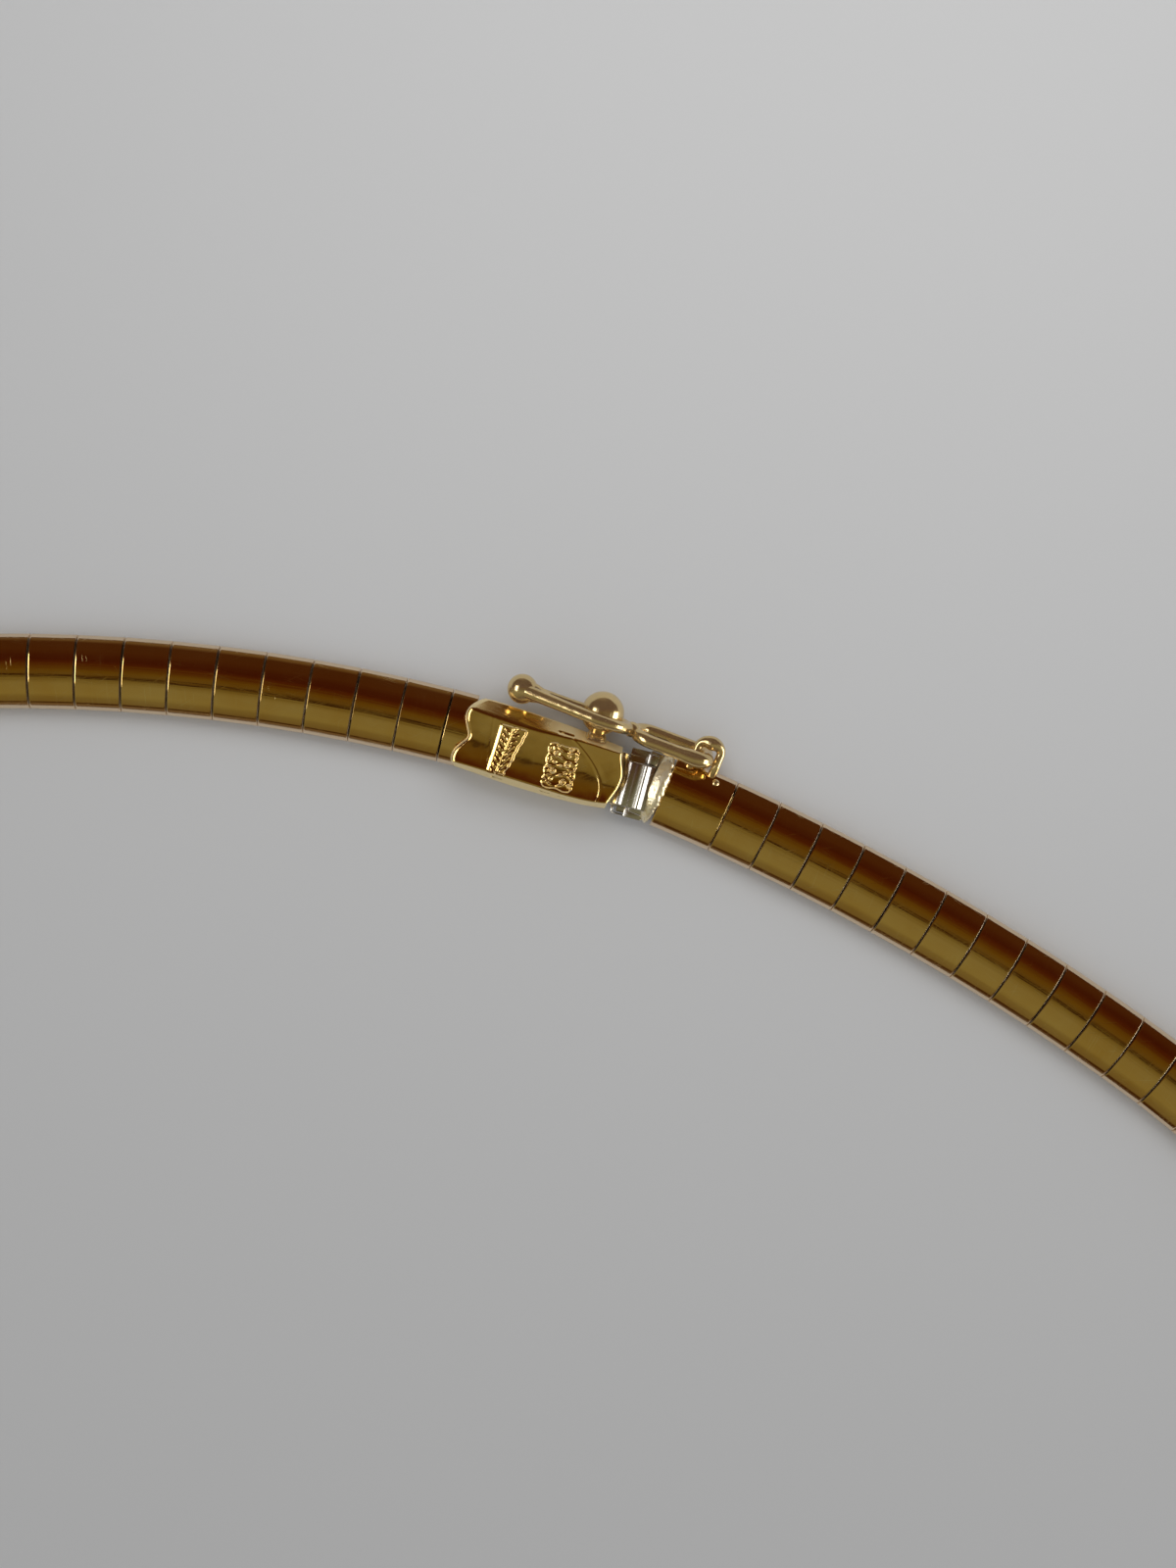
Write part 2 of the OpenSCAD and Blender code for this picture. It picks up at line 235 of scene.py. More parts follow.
def new_group(name, kind, inputs, outputs):
    """An empty node group, the sockets it is given and the sockets it gives."""
    tree = bpy.data.node_groups.new(name, kind)
    for direction, sockets in (("INPUT", inputs), ("OUTPUT", outputs)):
        for label, socket_type, default in sockets:
            socket = tree.interface.new_socket(label, in_out=direction, socket_type=socket_type)
            if default is not None:
                socket.default_value = default
    return tree, tree.nodes.new("NodeGroupInput").outputs, tree.nodes.new("NodeGroupOutput").inputs


VECTOR, FLOAT = "NodeSocketVector", "NodeSocketFloat"


# ---------------------------------------------------------------- effects shared by the metals


def fine_scratches():
    """Hairlines in three directions, broken up into short strokes."""
    tree, given, out = new_group(
        "Fine scratches", "ShaderNodeTree",
        [("Vector", VECTOR, None), ("Fineness", FLOAT, 1.0), ("Amount", FLOAT, 0.5)],
        [("Mask", FLOAT, None), ("Height", FLOAT, None)])
    fine = scaled(tree, given["Vector"], given["Fineness"])
    lines = []
    for turn, stretch in ((0.18, 26.0), (-0.62, 19.0), (1.45, 23.0)):
        turned = put(tree, "ShaderNodeVectorRotate", {"Vector": fine, "Angle": turn},
                     rotation_type="Z_AXIS")
        laid = put(tree, "ShaderNodeMapping", {"Vector": turned.outputs[0], "Scale": (0.45, stretch, 0.45)})
        lines.append(ramp(tree, noise_of(tree, laid.outputs[0], 1.0, 1.0), (0.66, 0.0), (0.74, 1.0)))
    most = maths(tree, "MAXIMUM", maths(tree, "MAXIMUM", lines[0], lines[1]), lines[2])
    patches = ramp(tree, noise_of(tree, fine, 0.9, 2.0), (0.38, 0.15), (0.62, 1.0))
    mask = maths(tree, "MULTIPLY", maths(tree, "MULTIPLY", most, patches), given["Amount"])
    tree.links.new(mask, out["Mask"])
    tree.links.new(maths(tree, "MULTIPLY", mask, -1.0), out["Height"])
    return tree


def hand_finish():
    """Slow unevenness of metal polished by hand."""
    tree, given, out = new_group(
        "Hand finish", "ShaderNodeTree",
        [("Vector", VECTOR, None), ("Wave", FLOAT, 1.0), ("Depth", FLOAT, 1.0)],
        [("Height", FLOAT, None), ("Cloud", FLOAT, None)])
    slow = noise_of(tree, given["Vector"], given["Wave"], 1.0)
    tree.links.new(maths(tree, "MULTIPLY", slow, given["Depth"]), out["Height"])
    cloud = noise_of(tree, given["Vector"], maths(tree, "MULTIPLY", given["Wave"], 0.6), 3.0)
    tree.links.new(ramp(tree, cloud, (0.35, 0.0), (0.68, 1.0)), out["Cloud"])
    return tree


def drawn_lines():
    """Lines that run the length of a drawn strip; the vector's X is along it."""
    tree, given, out = new_group(
        "Drawn lines", "ShaderNodeTree",
        [("Vector", VECTOR, None), ("Fineness", FLOAT, 1.0)],
        [("Height", FLOAT, None), ("Mask", FLOAT, None)])
    heights = []
    for along, across, weight in ((0.03, 3.0, 1.0), (0.09, 11.0, 0.35), (0.5, 34.0, 0.12)):
        laid = put(tree, "ShaderNodeMapping",
                   {"Vector": given["Vector"], "Scale": (along, across, 1.0)})
        grain = noise_of(tree, laid.outputs[0], given["Fineness"], 1.0)
        heights.append(maths(tree, "MULTIPLY", grain, weight))
    tree.links.new(sum_of(tree, *heights), out["Height"])
    tree.links.new(ramp(tree, heights[2], (0.068, 0.0), (0.085, 1.0)), out["Mask"])
    return tree


def tarnish_film():
    """Spots and films of dark tarnish."""
    tree, given, out = new_group(
        "Tarnish film", "ShaderNodeTree",
        [("Vector", VECTOR, None), ("Size", FLOAT, 1.0), ("Amount", FLOAT, 0.5)],
        [("Mask", FLOAT, None)])
    bent = noise_of(tree, given["Vector"], maths(tree, "DIVIDE", 1.0, given["Size"]), 4.0,
                    Roughness=0.62, Distortion=0.4)
    level = maths(tree, "SUBTRACT", 0.78, maths(tree, "MULTIPLY", given["Amount"], 0.3))
    over = maths(tree, "SUBTRACT", bent, level)
    sharp = put(tree, "ShaderNodeMath", {0: over, 1: 14.0}, operation="MULTIPLY", use_clamp=True)
    tree.links.new(sharp.outputs[0], out["Mask"])
    return tree


@functools.cache
def shared_effect(maker):
    """The effect's node group, made on its first use."""
    return maker()


def effect(tree, maker, values):
    return put(tree, "ShaderNodeGroup", values, node_tree=shared_effect(maker))


# ---------------------------------------------------------------- metals


def metal(name, metallic=1.0):
    """A new metal: its tree, its shader and its coordinates in millimetres."""
    made = bpy.data.materials.new(name)
    made.use_nodes = True
    tree = made.node_tree
    tree.nodes.clear()
    shader = put(tree, "ShaderNodeBsdfPrincipled", {"Metallic": metallic})
    output = tree.nodes.new("ShaderNodeOutputMaterial")
    tree.links.new(shader.outputs[0], output.inputs[0])
    where = tree.nodes.new("ShaderNodeTexCoord")
    place = put(tree, "ShaderNodeMapping",
                {"Vector": where.outputs["Object"], "Scale": (1 / MM,) * 3}).outputs[0]
    return made, tree, shader, place


def roughness_from(tree, shader, base, *extras):
    """Roughness: a base with masks that add to it."""
    total = base
    for mask, amount in extras:
        total = maths(tree, "MULTIPLY_ADD", mask, amount, total)
    tree.links.new(total, shader.inputs["Roughness"])


def relief(tree, shader, height, depth):
    """Bump of a height in millimetres."""
    bump = put(tree, "ShaderNodeBump", {"Height": height, "Distance": depth * MM, "Strength": 1.0})
    tree.links.new(bump.outputs[0], shader.inputs["Normal"])


def steepness(tree):
    """0 where the surface faces the eye, 1 where it turns away."""
    facing = put(tree, "ShaderNodeLayerWeight", {"Blend": 0.5}).outputs["Facing"]
    return ramp(tree, facing, (0.22, 0.0), (0.34, 1.0), ease="EASE")


def plate_gold(finish):
    """Polished plates: drawn lines along the band, hairlines and a faint mottle."""
    made, tree, shader, place = metal("Polished plate gold")
    band = put(tree, "ShaderNodeUVMap", uv_map="Band")
    lines = effect(tree, drawn_lines, {"Vector": band.outputs[0]})
    marks = effect(tree, fine_scratches, {"Vector": band.outputs[0], "Amount": 0.6})
    hand = effect(tree, hand_finish, {"Vector": place, "Wave": 0.55})
    film = effect(tree, tarnish_film, {"Vector": place, "Size": 1.1, "Amount": 0.22})
    gold = mix(tree, hand.outputs["Cloud"], finish.gold[:], finish.deep_gold[:])
    rubbed = mix(tree, marks.outputs["Mask"], gold, finish.pale_gold[:])
    filmed = mix(tree, maths(tree, "MULTIPLY", film.outputs["Mask"], 0.35), rubbed, finish.tarnish[:])
    end = put(tree, "ShaderNodeAttribute", attribute_name="end").outputs["Fac"]
    # Painted shade: the seam tone fills the last 0.03 mm of each plate's end, standing in for the shade
    # inside the open seams.
    seam = ramp(tree, end, (0.0, 1.0), (0.03, 1.0), (0.045, 0.0))
    # Painted highlight: a faint pale line just inside each plate's end, standing in for the glint on its
    # rounded edge.
    lip = ramp(tree, end, (0.045, 0.0), (0.06, 1.0), (0.075, 0.0))
    lined = mix(tree, maths(tree, "MULTIPLY", lip, 0.2), filmed, finish.pale_gold[:])
    seamed = mix(tree, seam, lined, finish.seam[:])
    # Painted reflection: where the surface turns away from the eye the colour goes to the rim tone, standing
    # in for the metal's duller reflection at grazing angles.
    tree.links.new(mix(tree, steepness(tree), seamed, finish.rim[:]), shader.inputs["Base Color"])
    roughness_from(tree, shader, finish.polish, (marks.outputs["Mask"], 0.16),
                   (lines.outputs["Mask"], 0.05), (film.outputs["Mask"], 0.12), (seam, 0.3))
    height = sum_of(tree, lines.outputs["Height"], maths(tree, "MULTIPLY", marks.outputs["Height"], 0.35))
    relief(tree, shader, height, 0.006)
    return made


def wear(tree, shader, place, plain, rubbed, stain, hairs, film, rough, more=()):
    """Hairlines and spots of tarnish over a plain tone; returns the colour and the lines' height.

    hairs: fineness, amount. film: size, amount, share. rough: the base and what lines and film add to it.
    """
    lines = effect(tree, fine_scratches, {"Vector": place, "Fineness": hairs[0], "Amount": hairs[1]})
    colour = mix(tree, lines.outputs["Mask"], plain, rubbed) if rubbed else plain
    extras = [(lines.outputs["Mask"], rough[1])]
    if film:
        spots = effect(tree, tarnish_film, {"Vector": place, "Size": film[0], "Amount": film[1]})
        colour = mix(tree, maths(tree, "MULTIPLY", spots.outputs["Mask"], film[2]), colour, stain)
        extras.append((spots.outputs["Mask"], rough[2]))
    roughness_from(tree, shader, rough[0], *extras, *more)
    return colour, lines.outputs["Height"]


def box_gold(finish):
    """The box and its cover: bright polish with dark spots of tarnish in the hollows."""
    made, tree, shader, place = metal("Box gold")
    hand = effect(tree, hand_finish, {"Vector": place, "Wave": 0.75})
    gold = mix(tree, hand.outputs["Cloud"], finish.gold[:], finish.deep_gold[:])
    steep = steepness(tree)
    worn, lines = wear(tree, shader, place, gold, finish.pale_gold[:], finish.tarnish[:],
                       (1.3, 0.5), (0.8, 0.30, 0.5), (0.10, 0.12, 0.2), [(steep, 0.38)])
    # Painted sheen: steep places, where the surface turns away from the eye, turn pale gold and partly
    # non-metallic, standing in for the bright reflections on the cover's bevels.
    tree.links.new(mix(tree, steep, worn, finish.pale_gold[:]), shader.inputs["Base Color"])
    tree.links.new(maths(tree, "MULTIPLY_ADD", steep, -0.45, 1.0), shader.inputs["Metallic"])
    relief(tree, shader, sum_of(tree, hand.outputs["Height"], maths(tree, "MULTIPLY", lines, 0.12)), 0.014)
    return made


def wire_gold(finish):
    """Cast and bent wire: satin, softly uneven, with a few pits."""
    made, tree, shader, place = metal("Wire gold", 0.87)
    hand = effect(tree, hand_finish, {"Vector": place, "Wave": 1.6})
    darker = tuple(0.88 * c for c in finish.wire_gold)
    gold = mix(tree, hand.outputs["Cloud"], finish.wire_gold[:], darker)
    pits = put(tree, "ShaderNodeTexVoronoi", {"Vector": place, "Scale": 3.2})
    pit = ramp(tree, pits.outputs["Distance"], (0.0, 1.0), (0.11, 0.0))
    worn, lines = wear(tree, shader, place, gold, finish.pale_gold[:], None,
                       (1.6, 0.45), None, (0.18, 0.1), [(pit, 0.15)])
    tree.links.new(worn, shader.inputs["Base Color"])
    relief(tree, shader, sum_of(tree, hand.outputs["Height"], maths(tree, "MULTIPLY", lines, 0.12),
                                maths(tree, "MULTIPLY", pit, -0.25)), 0.02)
    return made


def solder_gold(finish):
    """Solder: paler, granular and a little rough."""
    made, tree, shader, place = metal("Solder gold", 0.7)
    grains = put(tree, "ShaderNodeTexVoronoi", {"Vector": place, "Scale": 6.5})
    grain = ramp(tree, grains.outputs["Distance"], (0.0, 1.0), (0.75, 0.0), ease="EASE")
    gold = mix(tree, grain, finish.solder[:], finish.pale_gold[:])
    worn, _ = wear(tree, shader, place, gold, None, finish.tarnish[:],
                   (1.5, 0.3), (0.35, 0.5, 0.45), (0.3, 0.1, 0.2))
    tree.links.new(worn, shader.inputs["Base Color"])
    relief(tree, shader, grain, 0.008)
    return made


def tongue_metal(finish):
    """The tongue's white gold, rubbed lengthwise."""
    made, tree, shader, place = metal("White gold")
    laid = put(tree, "ShaderNodeMapping", {"Vector": place, "Scale": (0.5, 5.0, 0.5)})
    rub = noise_of(tree, laid.outputs[0], 3.0, 3.0)
    worn, lines = wear(tree, shader, place, finish.white_gold[:], finish.rubbed_white[:],
                       finish.grey_stain[:], (1.4, 0.7), (0.5, 0.3, 0.5), (0.22, 0.1, 0.15))
    tree.links.new(worn, shader.inputs["Base Color"])
    relief(tree, shader, sum_of(tree, rub, maths(tree, "MULTIPLY", lines, 0.3)), 0.0025)
    return made


def woven_gold(finish):
    """The woven strip's wires, dull and dark between the plates."""
    made, tree, shader, place = metal("Woven gold")
    worn, lines = wear(tree, shader, place, finish.deep_gold[:], finish.pale_gold[:], finish.tarnish[:],
                       (2.5, 0.6), (0.7, 0.6, 0.7), (0.2, 0.1, 0.2))
    tree.links.new(worn, shader.inputs["Base Color"])
    relief(tree, shader, lines, 0.004)
    return made


@functools.cache
def finish_of(maker):
    """The metal, made on its first use."""
    return maker(bpy.context.scene.necklace_finishes)


# ---------------------------------------------------------------- mesh helpers


def shown(name, data):
    """A new object of the scene."""
    made = bpy.data.objects.new(name, data)
    bpy.context.scene.collection.objects.link(made)
    return made


def turn_outwards(mesh, touching=0.0):
    """Turns the faces outwards, after points that touch are joined."""
    work = bmesh.new()
    work.from_mesh(mesh)
    if touching:
        bmesh.ops.remove_doubles(work, verts=work.verts, dist=touching)
    bmesh.ops.recalc_face_normals(work, faces=work.faces)
    work.to_mesh(mesh)
    work.free()


def shade(mesh, sharp):
    """Smooth shading with edges sharp from an angle in degrees."""
    mesh.polygons.foreach_set("use_smooth", [True] * len(mesh.polygons))
    mesh.set_sharp_from_angle(angle=math.radians(sharp))


def piece(name, points, faces, material, sharp):
    """A closed mesh piece from points of the clasp frame in millimetres."""
    mesh = bpy.data.meshes.new(name)
    mesh.from_pydata([(Vector(p) - ORIGIN) * MM for p in points], [], faces)
    turn_outwards(mesh, TOUCHING)
    mesh.materials.append(finish_of(material))
    shade(mesh, sharp)
    return shown(name, mesh)


def instead_of(node, body, *pieces):
    """Puts pieces in the place of a node of the construction, riding on a body."""
    for made in pieces:
        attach(made, body)
        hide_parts(node)


def baked(obj):
    """Applies the object's modifiers to a plain mesh and removes them."""
    graph = bpy.context.evaluated_depsgraph_get()
    mesh = bpy.data.meshes.new_from_object(obj.evaluated_get(graph))
    obj.modifiers.clear()
    obj.data = mesh
    return obj


def grid_faces(rows, columns, start=0, closed=False):
    """Quads of a grid of points, rows outermost; closed joins the last column to the first."""
    across = columns if closed else columns - 1
    return [
        (start + r * columns + c, start + r * columns + (c + 1) % columns,
         start + (r + 1) * columns + (c + 1) % columns, start + (r + 1) * columns + c)
        for r in range(rows - 1) for c in range(across)
    ]


def capped(rows, sides):
    """Faces of closed rings of points, with one face over each end."""
    return grid_faces(rows, sides, closed=True) + [
        tuple(range(sides)), tuple(range((rows - 1) * sides, rows * sides))]


def ellipse_arc(centre, a, b, start, end, steps):
    turns = [math.radians(start + (end - start) * i / steps) for i in range(steps + 1)]
    return [(centre[0] + a * math.cos(t), centre[1] + b * math.sin(t)) for t in turns]


def tube(path, radii, sides=14, closed=False):
    """Points and faces of a round tube along a path, with rounded ends when it is open."""
    path = [Vector(p) for p in path]
    count = len(path)
    radii = [radii] * count if isinstance(radii, (int, float)) else list(radii)
    if not closed:
        for end, inner in ((0, 1), (-1, -2)):
            out = (path[end] - path[inner]).normalized()
            cap = [(path[end] + out * radii[end] * math.sin(t), radii[end] * math.cos(t))
                   for t in (math.radians(a) for a in (25, 50, 72, 88))]
            if end == 0:
                path = [p for p, r in reversed(cap)] + path
                radii = [r for p, r in reversed(cap)] + radii
            else:
                path += [p for p, r in cap]
                radii += [r for p, r in cap]
    total = len(path)
    tangents = []
    for i in range(total):
        before = path[(i - 1) % total] if closed else path[max(i - 1, 0)]
        after = path[(i + 1) % total] if closed else path[min(i + 1, total - 1)]
        tangents.append((after - before).normalized())
    side = tangents[0].orthogonal().normalized()
    points = []
    for i in range(total):
        side = (side - tangents[i] * side.dot(tangents[i])).normalized()
        other = tangents[i].cross(side)
        for k in range(sides):
            t = 2 * math.pi * k / sides
            points.append(path[i] + (side * math.cos(t) + other * math.sin(t)) * radii[i])
    if not closed:
        return points, capped(total, sides)
    # The last ring is joined to the first one's nearest points
    last = (total - 1) * sides
    near = min(range(sides), key=lambda k: (points[last] - points[k]).length)
    return points, grid_faces(total, sides, closed=True) + [
        (last + k, last + (k + 1) % sides, (near + k + 1) % sides, (near + k) % sides) for k in range(sides)]


def joined(*shapes):
    """Several shapes of points and faces as one."""
    points, faces = [], []
    for more_points, more_faces in shapes:
        start = len(points)
        points += list(more_points)
        faces += [tuple(i + start for i in face) for face in more_faces]
    return points, faces


def lathe(profile, place, steps=40, poles=None):
    """Turns a profile of distance along the axis and radius; place puts a point of it in the clasp frame.

    poles: where on the axis the two end points lie, when that isn't level with the end rings.
    """
    points = [place(Vector((radius * math.cos(t), radius * math.sin(t), along)))
              for along, radius in profile for t in (2 * math.pi * k / steps for k in range(steps))]
    faces = grid_faces(len(profile), steps, closed=True)
    for ring, pole in zip((0, len(profile) - 1), poles or (profile[0][0], profile[-1][0])):
        points.append(place(Vector((0, 0, pole))))
        hub = len(points) - 1
        faces += [(ring * steps + k, ring * steps + (k + 1) % steps, hub) for k in range(steps)]
    return points, faces


def ball(centre, radius, rings=18, steps=32):
    profile = [(-radius * math.cos(math.pi * i / rings), radius * math.sin(math.pi * i / rings))
               for i in range(1, rings)]
    return lathe(profile, Vector(centre).__add__, steps, (-radius, radius))


def bar(outline, start, end, place=None, soften=0.0):
    """A closed bar with an outline of two coordinates, drawn from start to end, its end edges softened."""
    place = place or (lambda *spot: Vector(spot))
    rings = [(start, soften), (start + soften, 0.0), (end - soften, 0.0), (end, soften)] if soften \
        else [(start, 0.0), (end, 0.0)]
    centre = Vector((sum(p[0] for p in outline) / len(outline), sum(p[1] for p in outline) / len(outline)))
    reach = max((Vector(p) - centre).length for p in outline)
    points = []
    for along, inset in rings:
        for p in outline:
            drawn = centre + (Vector(p) - centre) * (1 - inset / reach)
            points.append(place(along, drawn.x, drawn.y))
    return points, capped(len(rings), len(outline))


def rounded_box(low, high, radius, steps=3):
    """Outline of a rectangle with round corners."""
    corners = (((high[0] - radius, high[1] - radius), 0), ((low[0] + radius, high[1] - radius), 90),
               ((low[0] + radius, low[1] + radius), 180), ((high[0] - radius, low[1] + radius), 270))
    return [p for centre, start in corners
            for p in ellipse_arc(centre, radius, radius, start, start + 90, steps)]


def smooth_step(low, high, x):
    t = np.clip((x - low) / (high - low), 0.0, 1.0)
    return t * t * (3 - 2 * t)


def soft_least(a, b, width):
    """The lower of two heights, with a rounded corner between them."""
    h = np.clip(0.5 + 0.5 * (b - a) / width, 0.0, 1.0)
    return b + (a - b) * h - width * h * (1 - h)


# ---------------------------------------------------------------- the band


def arc_starts():
    """Each arc's start: X, Y, heading in degrees and length travelled."""
    x, y = BAND_START
    heading, travelled = START_HEADING, 0.0
    starts = []
    for turn, radius in ARCS:
        starts.append((x, y, heading, travelled))
        a, b = math.radians(heading), math.radians(heading - turn)
        x += radius * (math.sin(a) - math.sin(b))
        y += radius * (math.cos(b) - math.cos(a))
        heading -= turn
        travelled += radius * math.radians(turn)
    return starts


def on_band(travelled, outwards=0.0, height=0.0):
    """A point beside the band's centreline, in the clasp frame."""
    starts = arc_starts()
    i = max([k for k, start in enumerate(starts) if k == 0 or start[3] <= travelled])
    x, y, heading, before = starts[i]
    radius = ARCS[i][1]
    a = math.radians(heading)
    centre = Vector((x + radius * math.sin(a), y - radius * math.cos(a)))
    a -= (travelled - before) / radius
    reach = radius + outwards
    return Vector((centre.x - reach * math.sin(a), centre.y + reach * math.cos(a), height))


def band_outline(sizes, inset, crown_steps=14, hem_steps=3):
    """The band's section from one edge of its open underside, over the crown, to the other."""
    half, high, waist = (v / MM for v in (sizes.width / 2, sizes.height, sizes.waist))
    hem_x, slot = 1.25, 0.85
    left = [(-x, z) for x, z in ellipse_arc(
        (hem_x, waist), half - hem_x - inset, waist - inset, -90, 0, hem_steps)]
    crown = ellipse_arc((0, waist), half - inset, high - waist - inset, 180, 0, crown_steps)
    right = ellipse_arc((hem_x, waist), half - hem_x - inset, waist - inset, 0, -90, hem_steps)
    return [(-slot, inset)] + left[:-1] + crown + right[1:] + [(slot, inset)]


def path_object(name, start, end, step):
    """The band's centreline as an open curve."""
    count = round((end - start) / step)
    curve = bpy.data.curves.new(name, "CURVE")
    curve.dimensions = "3D"
    line = curve.splines.new("POLY")
    line.points.add(count)
    for i in range(count + 1):
        p = (on_band(start + (end - start) * i / count) - ORIGIN) * MM
        line.points[i].co = (*p, 1.0)
    return shown(name, curve)


def plate_blank(sizes, length):
    """One plate, straight along X: a rounded shell, open underneath."""
    edge, sheet = sizes.edge / MM, sizes.sheet / MM
    full = band_outline(sizes, 0.0)
    points = []
    rings = ((0.0, edge * 0.8), (edge, 0.0), (0.1, 0.0), (length - 0.1, 0.0), (length - edge, 0.0),
             (length, edge * 0.8))
    for x, inset in rings:
        points += [(x, y, z) for y, z in band_outline(sizes, inset)]
    for x in (0.0, length):
        points += [(x, y, z) for y, z in band_outline(sizes, sheet)]
    n = len(full)
    lengths = [0.0]
    for a, b in zip(full, full[1:]):
        lengths.append(lengths[-1] + math.dist(a, b))
    around = [lengths[i % n] - lengths[-1] / 2 for i in range(len(points))]
    last = len(rings)
    faces = grid_faces(last, n) + [tuple(reversed(f)) for f in grid_faces(2, n, start=last * n)]
    for outer, inner, flip in ((0, last, 1), (last - 1, last + 1, -1)):
        for c in range(n - 1):
            quad = (outer * n + c, inner * n + c, inner * n + c + 1, outer * n + c + 1)
            faces.append(quad[::flip])
    for c, flip in ((0, 1), (n - 1, -1)):
        faces.append(tuple(ring * n + c for ring in (*range(last), last + 1, last))[::flip])
    mesh = bpy.data.meshes.new("Plate blank")
    mesh.from_pydata([Vector(p) * MM for p in points], [], faces)
    turn_outwards(mesh)
    mesh.attributes.new("around", "FLOAT", "POINT").data.foreach_set("value", around)
    return mesh


def plates_tree():
    """Geometry Nodes: repeats a plate along the band and bends each one to it."""
    tree, given, out = new_group(
        "Plates along the band", "GeometryNodeTree",
        [("Plate", "NodeSocketGeometry", None), ("Band path", "NodeSocketObject", None),
         ("Count", "NodeSocketInt", 10), ("Pitch", FLOAT, 0.0025), ("Sway", FLOAT, 0.01),
         ("Middle height", FLOAT, 0.00075), ("Half length", FLOAT, 0.0012), ("Last share", FLOAT, 1.0),
         ("Seed", "NodeSocketInt", 0), ("Gold", "NodeSocketMaterial", None)],
        [("Plates", "NodeSocketGeometry", None)])
    tree.is_modifier = True
    spots = put(tree, "GeometryNodePoints", {"Count": given["Count"]})
    number = tree.nodes.new("GeometryNodeInputIndex")
    numbered = put(tree, "GeometryNodeStoreNamedAttribute",
                   {"Geometry": spots.outputs[0], "Name": "plate", "Value": number.outputs[0]},
                   data_type="INT", domain="POINT")
    laid = put(tree, "GeometryNodeInstanceOnPoints",
               {"Points": numbered.outputs[0], "Instance": given["Plate"]})
    real = put(tree, "GeometryNodeRealizeInstances", {"Geometry": laid.outputs[0]})
    plate = put(tree, "GeometryNodeInputNamedAttribute", {"Name": "plate"}, data_type="INT")
    around = put(tree, "GeometryNodeInputNamedAttribute", {"Name": "around"}, data_type="FLOAT")
    here = tree.nodes.new("GeometryNodeInputPosition")

    middle = put(tree, "ShaderNodeCombineXYZ",
                 {0: given["Half length"], 2: given["Middle height"]})
    sway = put(tree, "FunctionNodeRandomValue",
               {"Min": (-1.0, -1.0, -0.3), "Max": (1.0, 1.0, 0.3), "ID": plate.outputs[0],
                "Seed": given["Seed"]}, data_type="FLOAT_VECTOR")
    lean = scaled(tree, sway.outputs[0], given["Sway"])
    turn = put(tree, "FunctionNodeEulerToRotation", {0: lean})
    inner = vector_maths(tree, "SUBTRACT", here.outputs[0], middle.outputs[0])
    leant = put(tree, "FunctionNodeRotateVector", {"Vector": inner, "Rotation": turn.outputs[0]})
    local = put(tree, "ShaderNodeSeparateXYZ",
                {0: vector_maths(tree, "ADD", leant.outputs[0], middle.outputs[0])})

    last = maths(tree, "GREATER_THAN", plate.outputs[0], maths(tree, "SUBTRACT", given["Count"], 1.5))
    cut = maths(tree, "MULTIPLY", last, maths(tree, "SUBTRACT", given["Last share"], 1.0))
    within = maths(tree, "MULTIPLY_ADD", local.outputs[0], cut, local.outputs[0])
    travelled = maths(tree, "MULTIPLY_ADD", plate.outputs[0], given["Pitch"], within)
    path = put(tree, "GeometryNodeObjectInfo", {"Object": given["Band path"]})
    spot = put(tree, "GeometryNodeSampleCurve",
               {"Curves": path.outputs["Geometry"], "Length": travelled}, mode="LENGTH")
    place = vector_maths(tree, "ADD", spot.outputs["Position"],
                         beside(tree, spot.outputs["Tangent"], local.outputs[1], local.outputs[2]))
    map_at = put(tree, "ShaderNodeCombineXYZ", {
        0: maths(tree, "MULTIPLY", travelled, 1 / MM), 1: around.outputs[0]})
    mapped = put(tree, "GeometryNodeStoreNamedAttribute",
                 {"Geometry": real.outputs[0], "Name": "Band", "Value": map_at.outputs[0]},
                 data_type="FLOAT2", domain="CORNER")
    # Distance from the plate's nearer end in millimetres; the plate gold reads it to place painted seam shade
    # and a painted edge highlight.
    from_start = put(tree, "ShaderNodeSeparateXYZ", {0: here.outputs[0]}).outputs[0]
    full = maths(tree, "MULTIPLY", given["Half length"], 2.0)
    nearer = maths(tree, "MINIMUM", from_start, maths(tree, "SUBTRACT", full, from_start))
    ended = put(tree, "GeometryNodeStoreNamedAttribute",
                {"Geometry": mapped.outputs[0], "Name": "end", "Value": maths(tree, "DIVIDE", nearer, MM)},
                data_type="FLOAT", domain="POINT")
    bent = put(tree, "GeometryNodeSetPosition", {"Geometry": ended.outputs[0], "Position": place})
    golden = put(tree, "GeometryNodeSetMaterial",
                 {"Geometry": bent.outputs[0], "Material": given["Gold"]})
    tree.links.new(golden.outputs[0], out[0])
    return tree


def set_inputs(modifier, values):
    """Sets a Geometry Nodes modifier's inputs by their sockets' identifiers."""
    for item in modifier.node_group.interface.items_tree:
        if item.in_out == "INPUT" and item.name in values:
            modifier[item.identifier] = values[item.name]


